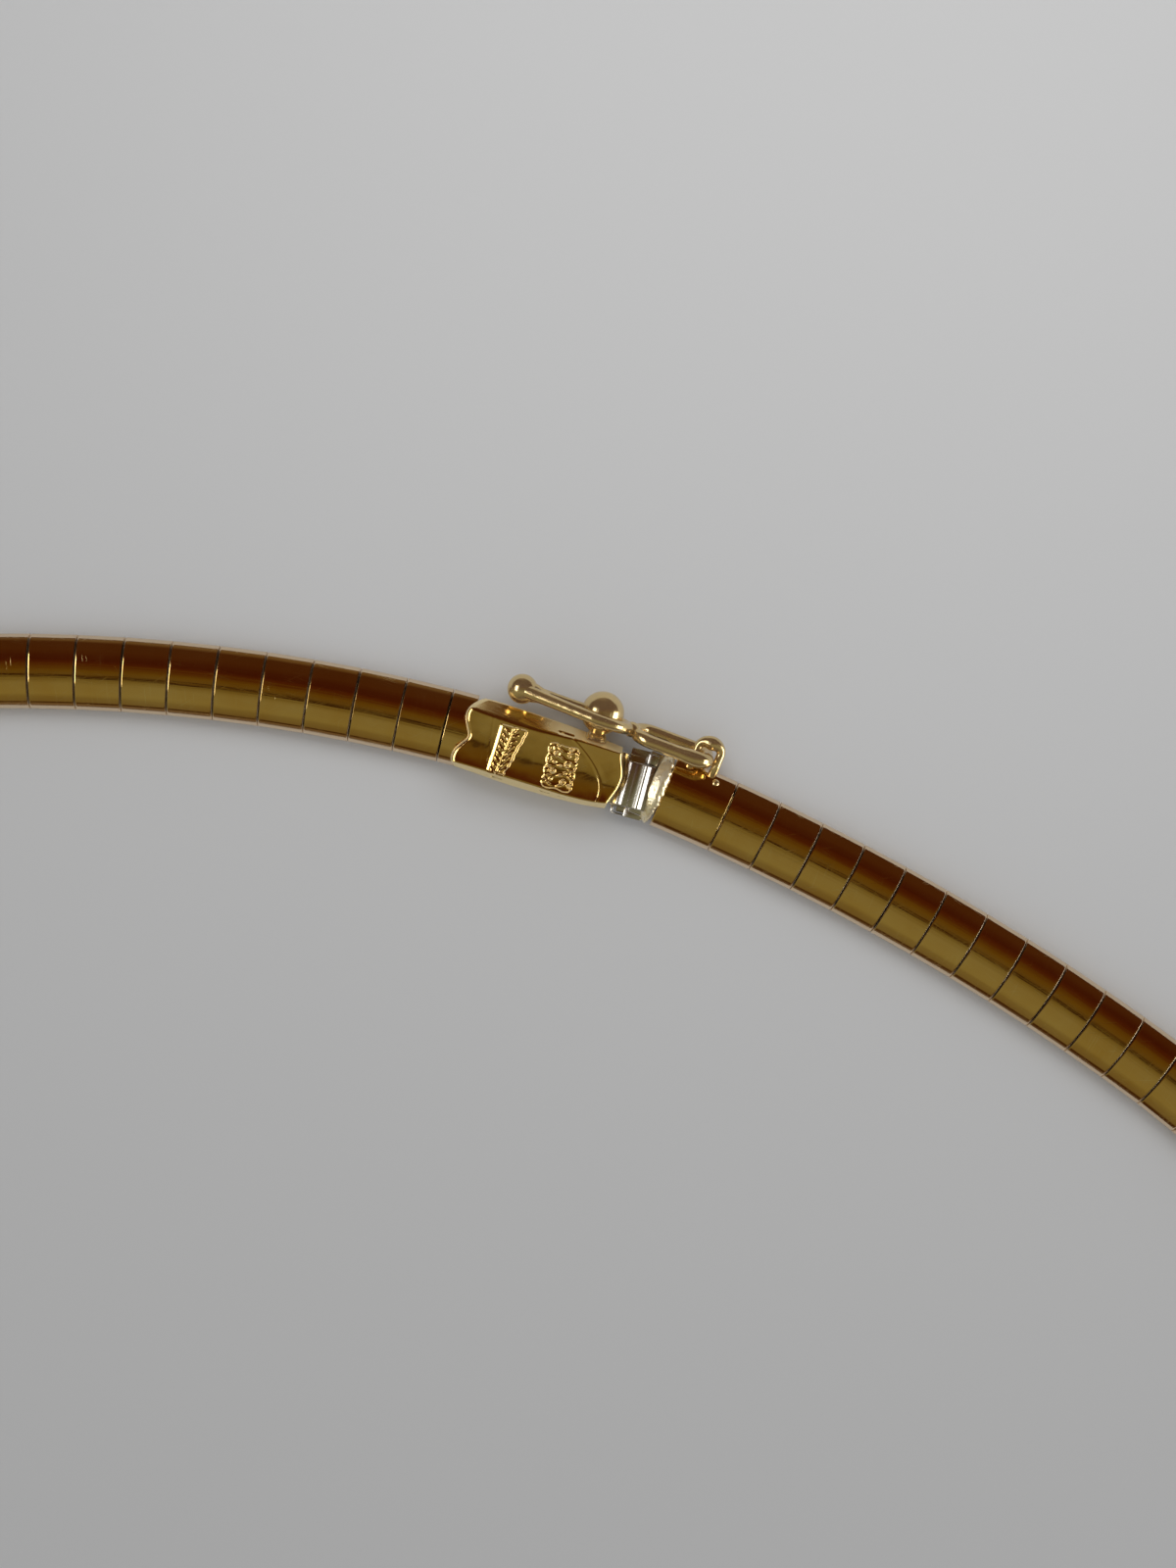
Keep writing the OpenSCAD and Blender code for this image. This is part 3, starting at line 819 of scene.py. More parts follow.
class NECKLACE_OT_plates(bpy.types.Operator):
    """Makes the domed plates round the loop"""

    bl_idname = "necklace.plates"
    bl_label = "Plates"

    def execute(self, context):
        sizes = context.scene.necklace_band
        seam = sizes.seam / MM
        first = CAP_LENGTH + seam
        # The last plate is cut short where it runs under the clasp's cover
        last = sizes.last_plate / MM
        pitch = (BAND_LENGTH - first - last) / (sizes.plates - 1)
        path = path_object("Band path", first, BAND_LENGTH, 0.5)
        plates = shown("plates_gold", plate_blank(sizes, pitch - seam))
        modifier = plates.modifiers.new("Plates", "NODES")
        modifier.node_group = plates_tree()
        set_inputs(modifier, {
            "Band path": path, "Count": sizes.plates, "Pitch": pitch * MM, "Sway": sizes.sway,
            "Middle height": sizes.waist, "Half length": (pitch - seam) / 2 * MM,
            "Last share": last / (pitch - seam), "Seed": sizes.seed, "Gold": finish_of(plate_gold)})
        baked(plates)
        if len(plates.data.polygons) < sizes.plates:
            raise RuntimeError("the plates weren't made")
        shade(plates.data, 62)
        weighted = plates.modifiers.new("Flat crowns", "WEIGHTED_NORMAL")
        weighted.keep_sharp = True
        baked(plates)
        bpy.data.objects.remove(path)
        instead_of("plates", NECKLACE, plates)
        return {"FINISHED"}


def weave_tree():
    """Geometry Nodes: braids flat wires along the band."""
    tree, given, out = new_group(
        "Braid along the band", "GeometryNodeTree",
        [("Path", "NodeSocketGeometry", None), ("Strands", "NodeSocketInt", 6),
         ("Half width", FLOAT, 0.00115), ("Period", FLOAT, 0.0048), ("Lift", FLOAT, 0.00011),
         ("Height", FLOAT, 0.00075), ("Wire", FLOAT, 0.00015), ("Step", FLOAT, 0.00026),
         ("Gold", "NodeSocketMaterial", None)],
        [("Braid", "NodeSocketGeometry", None)])
    tree.is_modifier = True
    cut = put(tree, "GeometryNodeResampleCurve",
              {"Curve": given["Path"], "Length": given["Step"]}, mode="LENGTH")
    many = put(tree, "GeometryNodeDuplicateElements",
               {"Geometry": cut.outputs[0], "Amount": given["Strands"]}, domain="SPLINE")
    number = put(tree, "GeometryNodeStoreNamedAttribute",
                 {"Geometry": many.outputs[0], "Name": "strand", "Value": many.outputs[1]},
                 data_type="INT", domain="CURVE")
    strand = put(tree, "GeometryNodeInputNamedAttribute", {"Name": "strand"}, data_type="INT")
    travelled = tree.nodes.new("GeometryNodeSplineParameter")
    share_of = maths(tree, "DIVIDE", strand.outputs[0], given["Strands"])
    phase = maths(tree, "ADD", maths(tree, "DIVIDE", travelled.outputs["Length"], given["Period"]),
                  share_of)
    saw = maths(tree, "PINGPONG", maths(tree, "MULTIPLY", phase, 2.0), 1.0)
    across = maths(tree, "MULTIPLY", maths(tree, "MULTIPLY_ADD", saw, 2.0, -1.0), given["Half width"])
    turns = maths(tree, "MULTIPLY", phase, given["Strands"])
    wave = maths(tree, "COSINE", maths(tree, "MULTIPLY", turns, 2 * math.pi))
    high = maths(tree, "MULTIPLY_ADD", wave, given["Lift"], given["Height"])
    tangent = tree.nodes.new("GeometryNodeInputTangent")
    moved = put(tree, "GeometryNodeSetPosition", {
        "Geometry": number.outputs[0], "Offset": beside(tree, tangent.outputs[0], across, high)})
    wire = put(tree, "GeometryNodeCurvePrimitiveCircle", {"Resolution": 5, "Radius": given["Wire"]})
    solid = put(tree, "GeometryNodeCurveToMesh",
                {"Curve": moved.outputs[0], "Profile Curve": wire.outputs[0], "Fill Caps": True})
    real = put(tree, "GeometryNodeRealizeInstances", {"Geometry": solid.outputs[0]})
    shaded = put(tree, "GeometryNodeSetShadeSmooth", {"Geometry": real.outputs[0]})
    golden = put(tree, "GeometryNodeSetMaterial",
                 {"Geometry": shaded.outputs[0], "Material": given["Gold"]})
    tree.links.new(golden.outputs[0], out[0])
    return tree


class NECKLACE_OT_woven_strip(bpy.types.Operator):
    """Makes the woven strip inside the plates"""

    bl_idname = "necklace.woven_strip"
    bl_label = "Woven strip"

    def execute(self, context):
        sizes = context.scene.necklace_band
        strip = path_object("woven_strip", 1.1, BAND_LENGTH, 0.5)
        modifier = strip.modifiers.new("Braid", "NODES")
        modifier.node_group = weave_tree()
        set_inputs(modifier, {
            "Strands": sizes.strands, "Wire": sizes.strand,
            "Half width": sizes.core_width / 2 - sizes.strand, "Height": sizes.waist,
            "Gold": finish_of(woven_gold)})
        graph = context.evaluated_depsgraph_get()
        mesh = bpy.data.meshes.new_from_object(strip.evaluated_get(graph))
        if not mesh.polygons:
            raise RuntimeError("the woven strip wasn't made")
        bpy.data.objects.remove(strip)
        instead_of("mesh_core", NECKLACE, shown("woven_strip", mesh))
        return {"FINISHED"}


# ---------------------------------------------------------------- the clasp box


def through(table, at):
    """A smooth curve through a table of places and values, read at one place or an array of them."""
    places, values = (np.array(column, dtype=float) for column in zip(*table))
    slopes = np.gradient(values, places)
    at = np.clip(at, places[0], places[-1])
    i = np.clip(np.searchsorted(places, at) - 1, 0, len(places) - 2)
    gap = places[i + 1] - places[i]
    t = (at - places[i]) / gap
    return ((2 * t ** 3 - 3 * t ** 2 + 1) * values[i] + (t ** 3 - 2 * t ** 2 + t) * gap * slopes[i]
            + (3 * t ** 2 - 2 * t ** 3) * values[i + 1] + (t ** 3 - t ** 2) * gap * slopes[i + 1])


# The cover's plan: outer edges and creases by X, the lobed back end and the mouth by Y
OUTER_EDGE = ((-4.45, 2.22), (-3.0, 2.25), (-1.0, 2.17), (0.0, 2.10), (2.0, 1.93), (3.0, 1.80),
              (4.63, 1.58))
INNER_EDGE = ((-4.45, -1.62), (-3.0, -1.71), (-1.5, -1.83), (0.0, -1.89), (2.0, -1.90), (3.0, -1.86),
              (4.63, -1.70))
OUTER_CREASE = ((-4.45, 1.62), (-3.0, 1.50), (-1.0, 1.37), (1.0, 1.39), (2.0, 1.42), (4.63, 1.36))
INNER_CREASE = ((-4.45, -1.34), (-2.4, -1.39), (0.0, -1.45), (2.0, -1.55), (3.5, -1.50), (4.63, -1.35))
LOBES = ((-1.90, -3.7), (-1.62, -4.12), (-1.40, -4.34), (-1.10, -4.42), (-0.80, -4.37), (-0.30, -4.07),
         (-0.02, -3.86), (0.10, -3.82), (0.20, -3.84), (0.45, -3.95), (0.90, -4.15), (1.10, -4.20),
         (1.40, -4.19), (1.70, -4.06), (2.00, -3.80), (2.20, -3.52), (2.30, -3.30))
MOUTH = ((-1.95, 4.14), (-1.70, 4.17), (-1.40, 4.23), (-1.00, 4.39), (-0.60, 4.54), (-0.20, 4.62),
         (0.10, 4.63), (0.40, 4.57), (0.80, 4.42), (1.10, 4.33), (1.45, 4.28), (1.70, 4.26))


# Height of the cover's edge, half width of the box under it, and the crease at the mouth by Y
EDGE_HEIGHT, BOX_HALF = 1.80, 1.9
CREASE = (3.263, 0.749, 0.3365)
# The dish's share of height from the outer crease in: a steep part and an even part
DISH_STEEP, DISH_POWER, DISH_EVEN = 1.478, 3.2, 2.10


def inside(distance, wall):
    """1 inside a shape, 0 outside, with a sloped wall, from a distance that is negative inside."""
    return 1.0 - smooth_step(-wall, wall, distance)


def bar_distance(u, v, half_u, half_v, corner):
    du, dv = np.abs(u) - half_u + corner, np.abs(v) - half_v + corner
    return np.hypot(np.maximum(du, 0), np.maximum(dv, 0)) + np.minimum(np.maximum(du, dv), 0) - corner


def twig_punch(u, v):
    """Share of the punch's depth in a sunk tablet with a leafy twig in it."""
    left = np.clip((u + 2.37 - 0.04 * v) / 0.2, 0, 1)
    right = 1 - smooth_step(-0.10, 0.02, u + 1.08 - 0.25 * v + 0.04 * np.sin(v * 9) * np.sin(v * 4))
    ends = smooth_step(-1.46, -1.34, v) * (1 - smooth_step(1.10, 1.26, v))
    x = u + 1.70 - 0.12 * v
    twig = np.exp(-((x - 0.07 * np.sin(v * 2.6)) / 0.045) ** 2)
    leaves = np.zeros_like(u)
    for k in range(-4, 4):
        for hand in (-1, 1):
            du, dv = x - hand * 0.24, v - k * 0.31 - 0.08 * hand
            slant = 0.85 * hand
            a = du * math.cos(slant) + dv * math.sin(slant)
            b = -du * math.sin(slant) + dv * math.cos(slant)
            leaves = np.maximum(leaves, np.clip(1 - (a / 0.23) ** 2 - (b / 0.09) ** 2, 0, None) ** 0.5)
    raised = np.maximum(leaves * 0.75, twig * 0.6)
    return left * right * ends * (1 - 0.8 * raised)


def scroll_punch(u, v):
    """Share of the punch's depth in a sunk scalloped tablet with leafy scrolls in it."""
    v = v + 0.24
    scallop = 0.70 + 0.11 * np.abs(np.sin(math.pi * (v + 1.15) / 0.575)) ** 0.6
    sides = np.abs(u - 1.33 + 0.03 * v) - scallop
    ends = np.abs(v) - 1.17 - 0.04 * np.cos(7 * u)
    tablet = inside(np.maximum(sides, ends), 0.055)
    x, y = u - 1.33, v
    raised = np.zeros_like(u)
    for k in range(-2, 3):
        bow = 0.10 * np.cos(x * 4.2 + k * 1.3) + 0.46 * k
        stroke = np.exp(-((y - bow) / 0.055) ** 2) * (0.6 + 0.4 * np.cos(x * 11 + k))
        curl = np.hypot((x - 0.34 * (-1) ** k) * 1.1, y - 0.46 * k - 0.20)
        ring = np.exp(-((curl - 0.12) / 0.04) ** 2)
        bead = np.clip(1 - (np.hypot(x + 0.34 * (-1) ** k, y - 0.46 * k - 0.22) / 0.10) ** 2, 0, 1) ** 0.5
        raised = np.maximum(raised, np.maximum(np.maximum(stroke, ring), bead))
    return tablet * (1 - 0.85 * raised)


def end_beads(u, v):
    """Small beads pressed up along the scalloped tablet's edges."""
    height = np.zeros_like(u)
    for k in range(4):
        for x in (0.66, 2.04):
            at = -1.10 + 0.575 * k
            height = np.maximum(height, np.clip(1 - (np.hypot((u - x), (v - at)) / 0.13) ** 2, 0, 1) ** 0.5)
    return height


def cover_height(sizes, u, v):
    """Height of the cover's outside over a plan point, in millimetres."""
    top = sizes.cover_height / MM
    upper, lower = through(OUTER_CREASE, u), through(INNER_CREASE, u)
    outer, inner = through(OUTER_EDGE, u), through(INNER_EDGE, u)
    # The panel is dished, deepest near its inner ridge, and falls away past a bent crease at the mouth
    left = np.clip((upper - v) / (upper - lower), 0, 1)
    hollow = sizes.dish / MM * (DISH_STEEP * left ** DISH_POWER - DISH_EVEN * left)
    crease = CREASE[0] - CREASE[1] * v - CREASE[2] * v ** 2
    past = np.maximum(0, u - crease)
    ridge = 0.035 * np.exp(-((u - crease) / 0.07) ** 2)
    fall = 0.06 * past - 0.10 * np.maximum(0, u - 3.9) ** 2
    keep = 1 - 0.3 * smooth_step(-0.1, 0.5, u - crease)
    back = np.maximum(0, -3.35 - u)
    panel = top + hollow * keep + (fall + ridge) - 0.05 * back ** 2
    line = 0.02 * np.exp(-((u + 2.55 + 0.117 * v) / 0.05) ** 2) * smooth_step(-1.5, -1.2, v)
    rise = top - EDGE_HEIGHT
    height = soft_least(panel + line, EDGE_HEIGHT + (outer - v) * rise / (outer - upper), 0.10)
    height = soft_least(height, EDGE_HEIGHT + (v - inner) * rise / (lower - inner), 0.08)
    marks = twig_punch(u, v) + scroll_punch(u, v) - 0.7 * end_beads(u, v)
    turned_u, turned_v = (u - 1.21) + 0.10 * (v - 1.52), (v - 1.52) + 0.05 * (u - 1.21)
    slit = inside(bar_distance(turned_u, turned_v, 0.42, 0.05, 0.04), 0.03)
    return height - marks * sizes.punch / MM - slit * 0.08


def uneven(u, v):
    """A slow unevenness left by hand work, in millimetres."""
    return (0.010 * noise.noise(Vector((u * 0.9, v * 1.1, 3.1)))
            + 0.004 * noise.noise(Vector((u * 2.4, v * 2.6, 7.7))))


def cover_mesh():
    """The cover's outside as a grid: rows from the lobes to the mouth, columns across."""
    lip = np.array((0.0, 0.04, 0.12, 0.24, 0.40, 0.62, 1.0))
    back, front = 0.28, 0.16
    rows = 200
    spread = np.linspace(0, 1, rows)
    across = np.linspace(0.004, 0.996, 96)
    low, high = INNER_EDGE[0][1], OUTER_EDGE[0][1]
    v = np.tile(low + (high - low) * across, (rows + 2 * len(lip) - 2, 1))
    for _ in range(4):
        first, last = through(LOBES, v), through(MOUTH, v)
        u = first + back + (last - first - back - front) * np.concatenate(
            [np.zeros(len(lip) - 1), spread, np.ones(len(lip) - 1)])[:, None]
        u[:len(lip)] = first[:len(lip)] + back * lip[:, None]
        u[-len(lip):] = last[-len(lip):] - front * lip[::-1, None]
        low, high = through(INNER_EDGE, u), through(OUTER_EDGE, u)
        v = low + (high - low) * across
    drop = np.zeros_like(u)
    for radius, gap in ((back, u - through(LOBES, v)), (front, through(MOUTH, v) - u)):
        drop += radius - np.sqrt(radius ** 2 - (radius - gap.clip(0, radius)) ** 2)
    height = np.maximum(cover_height(bpy.context.scene.necklace_clasp, u, v) - drop, 1.7)
    points = []
    for r in range(u.shape[0]):
        top = [(a, b, h + uneven(a, b)) for a, b, h in zip(u[r], v[r], height[r])]
        (left_u, _, left_z), (right_u, _, right_z) = top[0], top[-1]
        low, high = float(through(INNER_EDGE, left_u)), float(through(OUTER_EDGE, right_u))
        points += [(left_u, low, z) for z in (1.5, 1.6, left_z - 0.07)]
        points += [(left_u, low + 0.012, left_z - 0.025)] + top
        points += [(right_u, high - 0.012, right_z - 0.025)]
        points += [(right_u, high, z) for z in (right_z - 0.07, 1.6, 1.5)]
    return points, grid_faces(u.shape[0], len(across) + 8)


def edge_outline(inset, start, end):
    """The box's plan between two places, in from the cover's edges."""
    us = np.linspace(start, end, 24)
    outer = [(u, min(BOX_HALF, float(through(OUTER_EDGE, u)) - inset)) for u in us]
    inner = [(u, max(-BOX_HALF, float(through(INNER_EDGE, u)) + inset)) for u in us]
    return outer, inner


def wall_section(outside):
    """Section of the box's side wall with its inner step and its rounded foot."""
    return [(outside, 1.7), (1.45, 1.7), (1.45, 0.45), (1.35, 0.35), (1.2, 0.35), (1.2, 0.0),
            (outside - 0.3, 0.0), (outside - 0.09, 0.09), (outside, 0.3)]


def knob_place(p):
    """Lathe space to the knob: the axis runs away from the box."""
    return Vector((KNOB.x + p.x, KNOB.y + p.z, KNOB.z + p.y))


class NECKLACE_OT_clasp_box(bpy.types.Operator):
    """Makes the clasp's box, its punched cover and the knob on its side"""

    bl_idname = "necklace.clasp_box"
    bl_label = "Clasp box"

    def execute(self, context):
        sizes = context.scene.necklace_clasp
        points, faces = cover_mesh()
        cover = piece("box_cover", points, faces, box_gold, sharp=75)
        sheet = cover.modifiers.new("Sheet", "SOLIDIFY")
        sheet.thickness = sizes.sheet
        sheet.offset = -1.0
        baked(cover)
        if len(cover.data.polygons) < 1000:
            raise RuntimeError("the cover wasn't made")

        walls = []
        for line, hand in zip(edge_outline(0.05, -3.7, 4.15), (1, -1)):
            points = [(u, hand * y, z) for u, v in line for y, z in wall_section(v * hand)]
            walls.append((points, capped(len(line), len(points) // len(line))))
        floor = bar(rounded_box((-1.25, 0.005), (1.25, 0.345), 0.05), -3.69, 4.14)
        end = bar(rounded_box((-1.5, 0.02), (1.5, 2.1), 0.1), -3.68, -2.8)
        box = piece("box_body", *joined(*walls, floor, end), box_gold, sharp=35)

        r = sizes.knob / MM
        profile = [(KNOB_ROOT, 0.62), (KNOB_ROOT + 0.3, 0.55), (KNOB_ROOT + 0.45, 0.45)]
        profile += [(-r * math.cos(t), r * math.sin(t)) for t in
                    (math.radians(a) for a in np.linspace(30, 177, 30))]
        knob = piece("knob", *lathe(profile, knob_place, steps=48), wire_gold, sharp=60)
        instead_of("clasp_box", NECKLACE, cover, box, knob)
        return {"FINISHED"}


# ---------------------------------------------------------------- the tongue


# Height of the thumb hump's middle line by X
HUMP = ((4.3, 1.60), (4.5, 1.63), (4.75, 1.71), (4.95, 1.78), (5.15, 1.80), (5.3, 1.815), (5.45, 1.80),
        (5.58, 1.74), (5.70, 1.66), (5.80, 1.65), (5.95, 1.695), (6.10, 1.75), (6.22, 1.76))
# Blocks of the tongue's base: X from and to, Y from and to, Z from and to
BASE_BLOCKS = ((4.8, 5.95, -1.8, 1.75, 0.4, 0.62), (5.2, 6.2, -1.95, -1.3, 0.5, 1.0),
               (4.42, 5.3, -1.52, -1.37, 0.6, 0.95), (4.55, 5.3, -1.93, -1.84, 0.6, 0.95),
               (4.5, 4.6, -1.9, -1.42, 0.6, 0.9), (5.72, 6.3, 1.06, 1.66, 0.6, 1.42))


class NECKLACE_OT_tongue(bpy.types.Operator):
    """Makes the folded white gold tongue between the box and the end cap"""

    bl_idname = "necklace.tongue"
    bl_label = "Tongue"

    def execute(self, context):
        leaf = context.scene.necklace_clasp.leaf / MM
        # The sheet's middle line from the side: round the fold, up the upper leaf and over the hump
        fold_r, middle, rise, run = 0.24, 0.89, 0.47, 6.3
        fold = [(-2 - fold_r * math.cos(t), middle + fold_r * math.sin(t)) for t in
                (math.radians(a) for a in range(-90, 91, 18))]
        flat = [(x, 1.13 + rise * (x + 2) / run) for x in np.linspace(-1, 4.2, 9)]
        hump = [(x, float(through(HUMP, x)) + 0.008 * math.sin(x * 19)) for x in np.linspace(4.4, 6.22, 56)]
        path = [(5.6, 0.65)] + fold + flat + hump
        split = next(i for i, (x, z) in enumerate(path) if x > 4.7 and z > 1.2)
        leaves = [leaf_strip(path[:split + 1], leaf, -1.4, 1.4), leaf_strip(path[split:], leaf, -1.38, 1.05)]
        plate = piece("tongue_leaves", *joined(*leaves), tongue_metal, sharp=50)
        slab = [bar(rounded_box((low, under), (high, over), 0.05), start, end, soften=0.04)
                for start, end, low, high, under, over in BASE_BLOCKS]
        base = piece("tongue_base", *joined(*slab), tongue_metal, sharp=50)

        root = bar(rounded_box((-1.75, 0.4), (1.75, 1.25), 0.1), -1.4, -0.62, on_band, 0.06)
        stub = piece("tongue_root", *root, tongue_metal, sharp=50)
        instead_of("tongue", NECKLACE, plate, base, stub)
        return {"FINISHED"}


def leaf_strip(path, thickness, low, high):
    """A leaf of sheet metal with rounded long edges, along a side path of X and Z points."""
    path = [Vector((x, 0, z)) for x, z in path]
    half = thickness / 2
    soft = 0.07
    section = rounded_box((low, -half), (high, half), soft, steps=3)
    points = []
    for i, p in enumerate(path):
        along = (path[min(i + 1, len(path) - 1)] - path[max(i - 1, 0)]).normalized()
        normal = Vector((-along.z, 0, along.x))
        points += [p + normal * h + Vector((0, y, 0)) for y, h in section]
    return points, capped(len(path), len(section))


# ---------------------------------------------------------------- the end cap


def cap_mesh(sizes):
    """The end cap: a long plate, closed underneath, with softened ends."""
    points = []
    soft = sizes.edge / MM
    rows = [(0.0, soft), (soft, 0.0)] + [(0.1 + (CAP_LENGTH - 0.2) * i / 8, 0.0) for i in range(9)]
    rows += [(CAP_LENGTH - soft, 0.0), (CAP_LENGTH, soft)]
    for along, inset in rows:
        points += [on_band(along, v, w) for v, w in band_outline(sizes, inset, 28, 5)]
    return points, capped(len(rows), len(points) // len(rows))


def map_cap(mesh):
    """Gives the end cap the plates' map, in millimetres along and across the band, and no seams."""
    places = mesh.uv_layers.new(name="Band")
    for loop in mesh.loops:
        spot = mesh.vertices[loop.vertex_index].co / MM + ORIGIN
        turn = math.radians(START_HEADING)
        along = Vector((math.cos(turn), math.sin(turn)))
        gone = spot.to_2d() - Vector(BAND_START)
        places.data[loop.index].uv = (gone.dot(along) - 20.0, along.cross(gone) * 1.25)
    # An end of 1 everywhere keeps the plates' painted seam shade and painted edge highlight off the cap.
    mesh.attributes.new("end", "FLOAT", "POINT").data.foreach_set("value", [1.0] * len(mesh.vertices))


def ridge_mesh():
    """The bead of solder across the end cap: a broad face towards the tongue, grainy towards the band."""
    section = ((-0.37, -0.30), (-0.37, -0.04), (-0.345, 0.0), (-0.29, 0.035), (-0.15, 0.10), (0.0, 0.165),
               (0.10, 0.20), (0.17, 0.205), (0.23, 0.18), (0.285, 0.14), (0.33, 0.08), (0.36, 0.0),
               (0.38, -0.10), (0.38, -0.30))
    rows, points = 90, []
    first, sweep = -14, 200
    half, rise, middle = 1.86, 1.16, 0.75
    for r in range(rows):
        turn = math.radians(first + sweep * r / (rows - 1))
        out, up = math.cos(turn), math.sin(turn)
        width = 0.16 + 0.84 * max(0.0, 1 - (1.75 * out / 1.85 * (1 if out < 0 else 0.9)) ** 2) ** 0.5 \
            if abs(out * 1.75) < 1.85 else 0.16
        for along, high in section:
            rough = float(smooth_step(0.02, 0.25, along)) * (0.4 + 0.6 * width)
            spot = Vector((along * 3.2, out * 7.0, up * 7.0))
            grain = 0.13 * noise.noise(spot) + 0.08 * noise.noise(spot * 2.3) + 0.02 * noise.noise(spot * 5)
            place = -0.42 + along * 1.15 * width + rough * grain * 0.9
            reach = high * (0.45 + 0.55 * width) + rough * grain * 0.35
            points.append(on_band(place, out * (half + reach), middle + up * (rise + reach)))
    return points, capped(rows, len(section))


def eye_path():
    """The eye: a staple of wire that swells at its bend and dips into the end cap at its legs."""
    turn = Matrix.Rotation(math.radians(START_HEADING), 3, "Z")
    reach, bend, wire, swelling = 0.35, 0.64, 0.23, 0.16
    path, radii = [], []
    leg = [(-1.15, -0.75), (-0.9, -0.42), (-0.62, -0.18), (-0.3, -0.04), (0.05, 0.0)]
    for side in (1, -1):
        path += [(side * bend, y, z) for y, z in leg][::side]
        radii += [wire] * len(leg)
        if side > 0:
            for i in range(29):
                t = math.pi * i / 28
                swell = math.sin(t) ** 2
                away = bend - 0.20 * swell
                path.append((away * math.cos(t), reach + away * math.sin(t), 0.05 * swell))
                radii.append(wire + swelling * swell)
    return [PIVOT + turn @ Vector(p) for p in path], radii


class NECKLACE_OT_end_cap(bpy.types.Operator):
    """Makes the end cap with its solder ridge and the eye that holds the latch"""

    bl_idname = "necklace.end_cap"
    bl_label = "End cap"

    def execute(self, context):
        sizes = context.scene.necklace_band
        points, faces = cap_mesh(sizes)
        cap = piece("end_cap", points, faces, plate_gold, sharp=50)
        map_cap(cap.data)
        ridge = piece("solder_ridge", *ridge_mesh(), solder_gold, sharp=80)
        path, radii = eye_path()
        # A drop of solder beside the eye's foot
        drop = ball(on_band(2.32, 1.42, 1.22), 0.26, 10, 16)
        eye = piece("eye", *joined(tube(path, radii, 18), drop), wire_gold, sharp=60)
        instead_of("end_cap", NECKLACE, cap, ridge, eye)
        return {"FINISHED"}


# ---------------------------------------------------------------- the safety latch


def on_latch(x, y, height, lean):
    """A point of a loop that stands on the latch's line, leaning towards the band."""
    tilt = math.radians(90 - lean)
    flat = Vector((x, y * math.cos(tilt), height + y * math.sin(tilt)))
    turned = Matrix.Rotation(LATCH_TURN, 3, "Z") @ flat
    return Vector((PIVOT.x + turned.x, PIVOT.y + turned.y, turned.z))


class NECKLACE_OT_safety_latch(bpy.types.Operator):
    """Makes the safety latch: a hinge loop, a waist and a loop round the knob"""

    bl_idname = "necklace.safety_latch"
    bl_label = "Safety latch"

    def execute(self, context):
        sizes = context.scene.necklace_latch
        wire, tip = sizes.wire / MM, sizes.tip / MM
        heading = Vector((math.cos(LATCH_TURN), math.sin(LATCH_TURN)))
        knob_x = (KNOB - PIVOT).to_2d().dot(heading)
        length = (TIP - PIVOT.to_2d()).length
        loop_r = context.scene.necklace_clasp.knob / MM + 0.07 + wire
        waist = knob_x - loop_r - 0.45
        half, corner = 1.0, 0.6
        hinge_lean, knob_lean = 16, 5

        hinge = [(0.0, y) for y in np.linspace(-0.35, 0.35, 5)]
        hinge += [(corner - corner * math.cos(t), 0.4 + corner * math.sin(t))
                  for t in np.linspace(0, math.pi / 2, 9)]
        bow_x = waist - half
        hinge += [(x, half) for x in np.linspace(corner + 0.3, bow_x - 0.2, 6)]
        hinge += [(bow_x + half * math.sin(t), half * math.cos(t)) for t in np.linspace(0, math.pi, 21)]
        hinge += [(x, -half) for x in np.linspace(bow_x - 0.2, corner + 0.3, 6)]
        hinge += [(corner - corner * math.cos(t), -0.4 - corner * math.sin(t))
                  for t in np.linspace(math.pi / 2, 0, 9)]
        thick = [wire * (1 + 0.12 * (y > 0.5) + 0.28 * max(0.0, 1 - ((x - 0.5) ** 2 + (y - 0.9) ** 2) / 0.9))
                 for x, y in hinge]
        hinge_wire = tube([on_latch(x, y, PIVOT.z, hinge_lean) for x, y in hinge], thick, 18, closed=True)

        end_r = 0.34
        tangent = math.acos((loop_r - end_r) / (length - knob_x))
        touch = Vector((math.cos(tangent), math.sin(tangent)))
        start = Vector((length, 0)) + end_r * touch
        meet = Vector((knob_x, 0)) + loop_r * touch
        loop = [start + (meet - start) * k / 12 for k in range(12)]
        loop += [Vector((knob_x + loop_r * math.cos(t), loop_r * math.sin(t)))
                 for t in np.linspace(tangent, 2 * math.pi - tangent, 49)]
        meet, start = Vector((meet.x, -meet.y)), Vector((start.x, -start.y))
        loop += [meet + (start - meet) * (k + 1) / 12 for k in range(12)]
        widths = [wire * (1.0 + 0.18 * max(0.0, 1 - min(i, len(loop) - 1 - i) / 8)) for i in range(len(loop))]
        knob_wire = tube([on_latch(p.x, p.y, KNOB.z, knob_lean) for p in loop], widths, 18)

        end = on_latch(length, 0, KNOB.z, knob_lean)
        neck = on_latch(length - 1.5, 0, KNOB.z, knob_lean)
        tip_ball = ball(end, tip, 24, 36)
        neck_fill = tube([end, end + (neck - end) * 0.45, end + (neck - end) * 0.85], [0.64, 0.52, 0.36], 20)
        knot_at = on_latch(waist + 0.225, 0, 1.675, 10)
        knot = ball(knot_at, 0.42, 16, 28)
        latch = piece("safety_latch", *joined(hinge_wire, knob_wire, tip_ball, neck_fill, knot),
                      wire_gold, sharp=60)
        instead_of("safety_latch", LATCH, latch)
        return {"FINISHED"}


# ---------------------------------------------------------------- stage


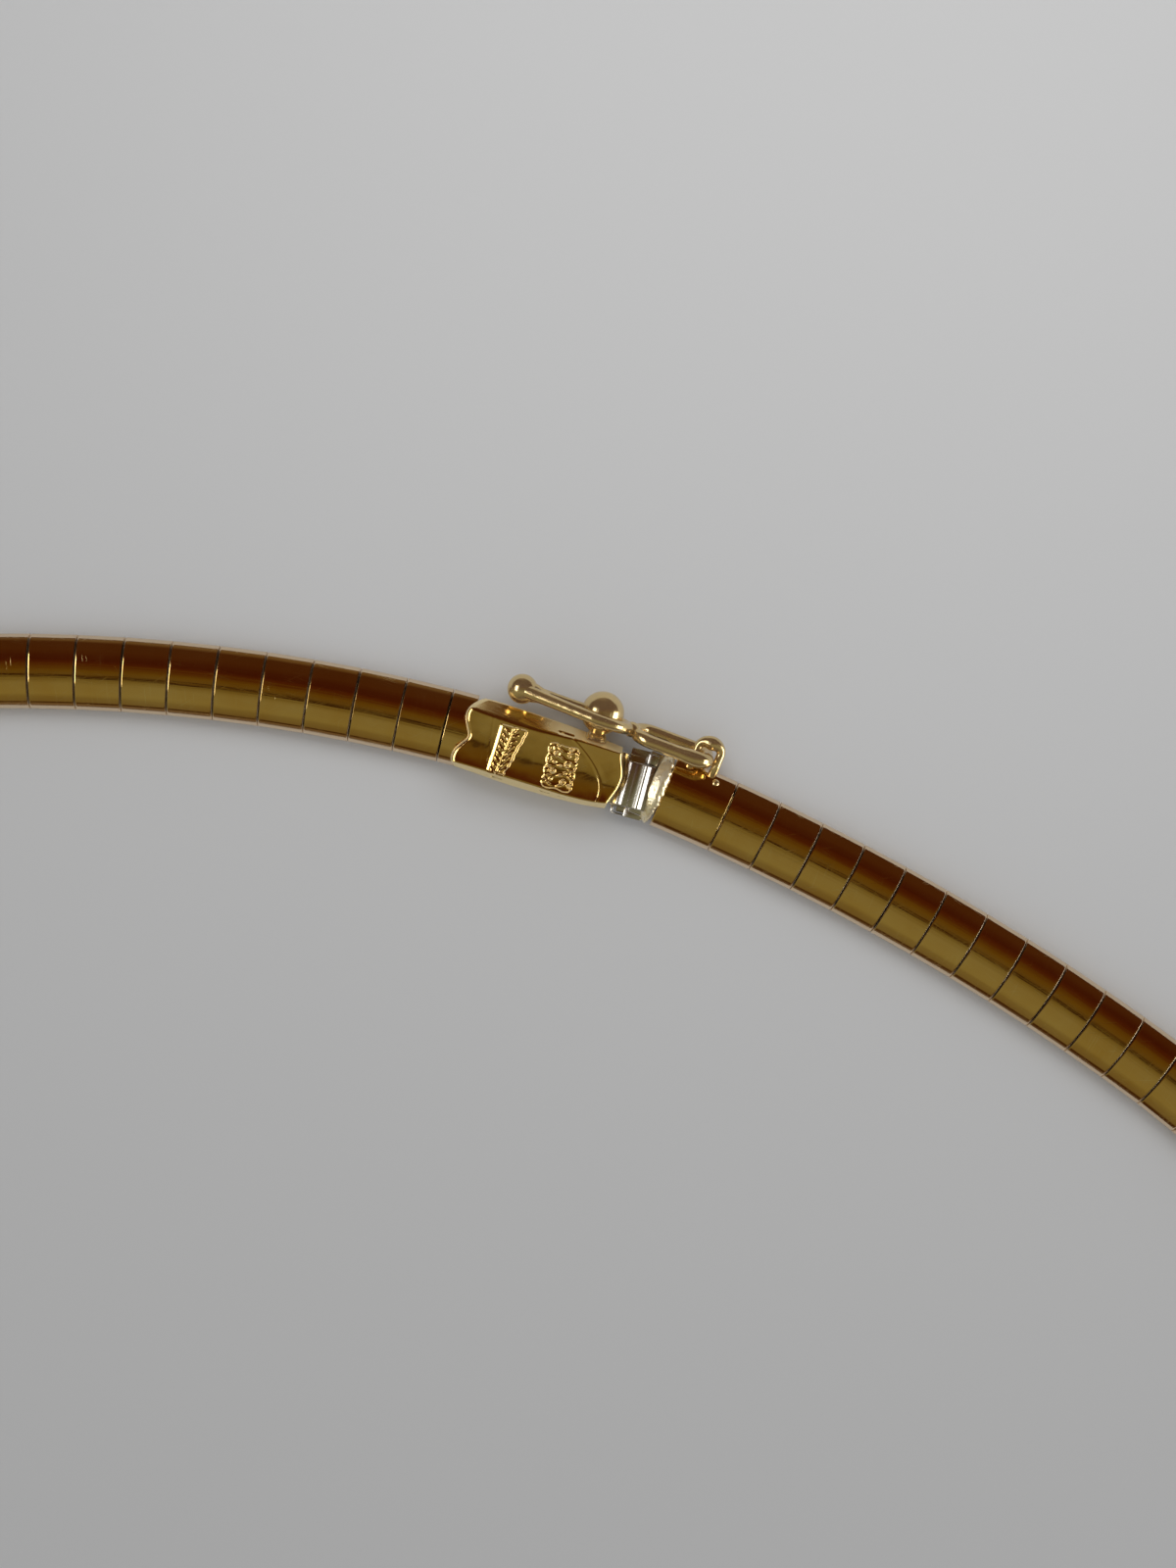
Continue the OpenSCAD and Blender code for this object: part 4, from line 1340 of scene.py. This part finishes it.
# The picture's right and up on the table, its middle in the clasp frame, and the camera over it
SIGHT_RIGHT = Vector((0.966, 0.259, 0.0))
SIGHT_UP = Vector((-0.259, 0.966, 0.0))
SIGHT_MIDDLE = Vector((3.0, -0.8, 0.0))
SIGHT_HEIGHT = 0.0842
CAMERA_DISTANCE, CAMERA_TILT, SENSOR = 0.130, 2.5, 36.0


def from_picture(right, up, height):
    """A direction given along the picture's right and up and off the table."""
    return (SIGHT_RIGHT * right + SIGHT_UP * up + Vector((0, 0, height))).normalized()


def soft_lamp(name, centre, aim, wide, high, watts, mirrored):
    """A soft rectangular lamp; mirrored lamps show in the metal and leave the table alone."""
    data = bpy.data.lights.new(name, "AREA")
    data.shape = "RECTANGLE"
    data.size, data.size_y, data.energy = wide, high, watts
    made = shown(name, data)
    made.location = centre
    made.rotation_mode = "QUATERNION"
    made.rotation_quaternion = (centre - aim).to_track_quat("Z", "Y")
    made.visible_glossy = mirrored
    made.visible_diffuse = not mirrored
    made.visible_camera = False
    return made


# Tones of the room as the metal mirrors it, from the picture's foot (0) to its head (1)
ROOM = (
    (0.00, (0.16, 0.12, 0.09)), (0.03, (0.15, 0.11, 0.08)), (0.04, (0.05, 0.02, 0.004)),
    (0.052, (0.05, 0.02, 0.004)), (0.065, (0.16, 0.13, 0.07)), (0.15, (0.185, 0.16, 0.08)),
    (0.20, (0.23, 0.21, 0.11)), (0.35, (0.22, 0.20, 0.11)), (0.434, (0.15, 0.12, 0.045)),
    (0.445, (0.03, 0.01, 0.002)), (0.457, (0.03, 0.01, 0.002)), (0.468, (0.12, 0.08, 0.025)),
    (0.53, (0.12, 0.07, 0.01)), (0.61, (0.07, 0.017, 0.003)), (0.68, (0.05, 0.01, 0.003)),
    (0.80, (0.065, 0.022, 0.007)), (0.95, (0.065, 0.025, 0.01)), (1.00, (0.16, 0.11, 0.07)))


def studio_world(settings):
    """A plain dome for the table, and a shaded one, darker over the band's outer side, for the metal."""
    world = bpy.data.worlds.new("Studio")
    world.use_nodes = True
    tree = world.node_tree
    tree.nodes.clear()
    where = tree.nodes.new("ShaderNodeTexCoord").outputs["Generated"]
    along = vector_maths(tree, "DOT_PRODUCT", where, SIGHT_UP[:])
    place = maths(tree, "MULTIPLY_ADD", along, 0.5, 0.5)
    room = ramp(tree, place, *ROOM)
    rays = tree.nodes.new("ShaderNodeLightPath")
    plain = mix(tree, rays.outputs["Is Glossy Ray"], (settings.dome,) * 3, room)
    seen = mix(tree, rays.outputs["Is Camera Ray"], plain, (0.52, 0.52, 0.52))
    sky = put(tree, "ShaderNodeBackground", {"Color": seen, "Strength": 1.0})
    output = tree.nodes.new("ShaderNodeOutputWorld")
    tree.links.new(sky.outputs[0], output.inputs[0])
    bpy.context.scene.world = world


def table_material(settings):
    made = bpy.data.materials.new("Pale table")
    made.use_nodes = True
    tree = made.node_tree
    shader = tree.nodes["Principled BSDF"]
    where = tree.nodes.new("ShaderNodeTexCoord")
    cloud = noise_of(tree, where.outputs["Object"], 9.0, 2.0)
    darker = tuple(c * 0.985 for c in settings.floor)
    tree.links.new(mix(tree, cloud, settings.floor[:], darker), shader.inputs["Base Color"])
    shader.inputs["Roughness"].default_value = 0.55
    shader.inputs["Specular IOR Level"].default_value = 0.08
    return made


class NECKLACE_OT_stage(bpy.types.Operator):
    """Makes the table, the lights and the camera"""

    bl_idname = "necklace.stage"
    bl_label = "Stage"

    def execute(self, context):
        settings = context.scene.necklace_stage
        mesh = bpy.data.meshes.new("table")
        reach, steps, below = 3.0, 64, 0.00002
        rim = [(reach * math.cos(t), reach * math.sin(t), -below)
               for t in (2 * math.pi * i / steps for i in range(steps))]
        mesh.from_pydata(rim, [], [tuple(range(steps))])
        mesh.materials.append(table_material(settings))
        shown("table", mesh)
        studio_world(settings)

        clasp = (SIGHT_MIDDLE - ORIGIN) * MM
        for name, way, distance, wide, high, radiance in (
                ("Window", (-0.69, 0.12, 0.70), 0.34, 0.22, 0.12, settings.window),
                ("Far window", (0.93, -0.30, 0.25), 0.36, 0.28, 0.15, settings.glow)):
            centre = clasp + from_picture(*way) * distance
            soft_lamp(name, centre, clasp, wide, high, radiance * math.pi * wide * high, True)
        centre = clasp + SIGHT_RIGHT * 0.022 + SIGHT_UP * 0.062 + Vector((0, 0, 0.08))
        soft_lamp("Table lamp", centre, centre - Vector((0, 0, 1)), 0.10, 0.08, settings.lamp, False)

        tilt = math.radians(CAMERA_TILT)
        back = SIGHT_UP * math.sin(tilt) + Vector((0, 0, 1)) * math.cos(tilt)
        data = bpy.data.cameras.new("Camera")
        data.lens = SENSOR * CAMERA_DISTANCE / SIGHT_HEIGHT
        data.clip_start = 0.005
        camera = shown("Camera", data)
        camera.rotation_mode = "QUATERNION"
        axes = Matrix((SIGHT_RIGHT, back.cross(SIGHT_RIGHT), back)).transposed().to_4x4()
        camera.matrix_world = Matrix.Translation(clasp + back * CAMERA_DISTANCE) @ axes
        context.scene.camera = camera
        context.scene.view_settings.view_transform = "Standard"
        return {"FINISHED"}


# ---------------------------------------------------------------- panel and registration


class NECKLACE_PT_pieces(bpy.types.Panel):
    """Lists the necklace's pieces and their sizes"""

    bl_idname = "NECKLACE_PT_pieces"
    bl_label = "Omega necklace"
    bl_space_type = "VIEW_3D"
    bl_region_type = "UI"
    bl_category = "Necklace"

    def draw(self, context):
        for operator in MAKERS:
            self.layout.operator(operator.bl_idname)
        for name, group in SETTINGS.items():
            box = self.layout.box()
            box.label(text=group.__doc__)
            for key in group.__annotations__:
                box.prop(getattr(context.scene, name), key)


MAKERS = (NECKLACE_OT_stage, NECKLACE_OT_plates, NECKLACE_OT_woven_strip, NECKLACE_OT_clasp_box,
          NECKLACE_OT_tongue, NECKLACE_OT_end_cap, NECKLACE_OT_safety_latch)
SETTINGS = {
    "necklace_band": BandSizes, "necklace_clasp": ClaspSizes, "necklace_latch": LatchSizes,
    "necklace_finishes": Finishes, "necklace_stage": StageSettings,
}


def register():
    for kind in (*SETTINGS.values(), *MAKERS, NECKLACE_PT_pieces):
        bpy.utils.register_class(kind)
    for name, group in SETTINGS.items():
        setattr(bpy.types.Scene, name, PointerProperty(type=group))


def unregister():
    for name in SETTINGS:
        delattr(bpy.types.Scene, name)
    for kind in reversed((*SETTINGS.values(), *MAKERS, NECKLACE_PT_pieces)):
        bpy.utils.unregister_class(kind)


def main():
    register()
    for operator in MAKERS:
        group, name = operator.bl_idname.split(".")
        getattr(getattr(bpy.ops, group), name)()


if __name__ == "__main__":
    main()
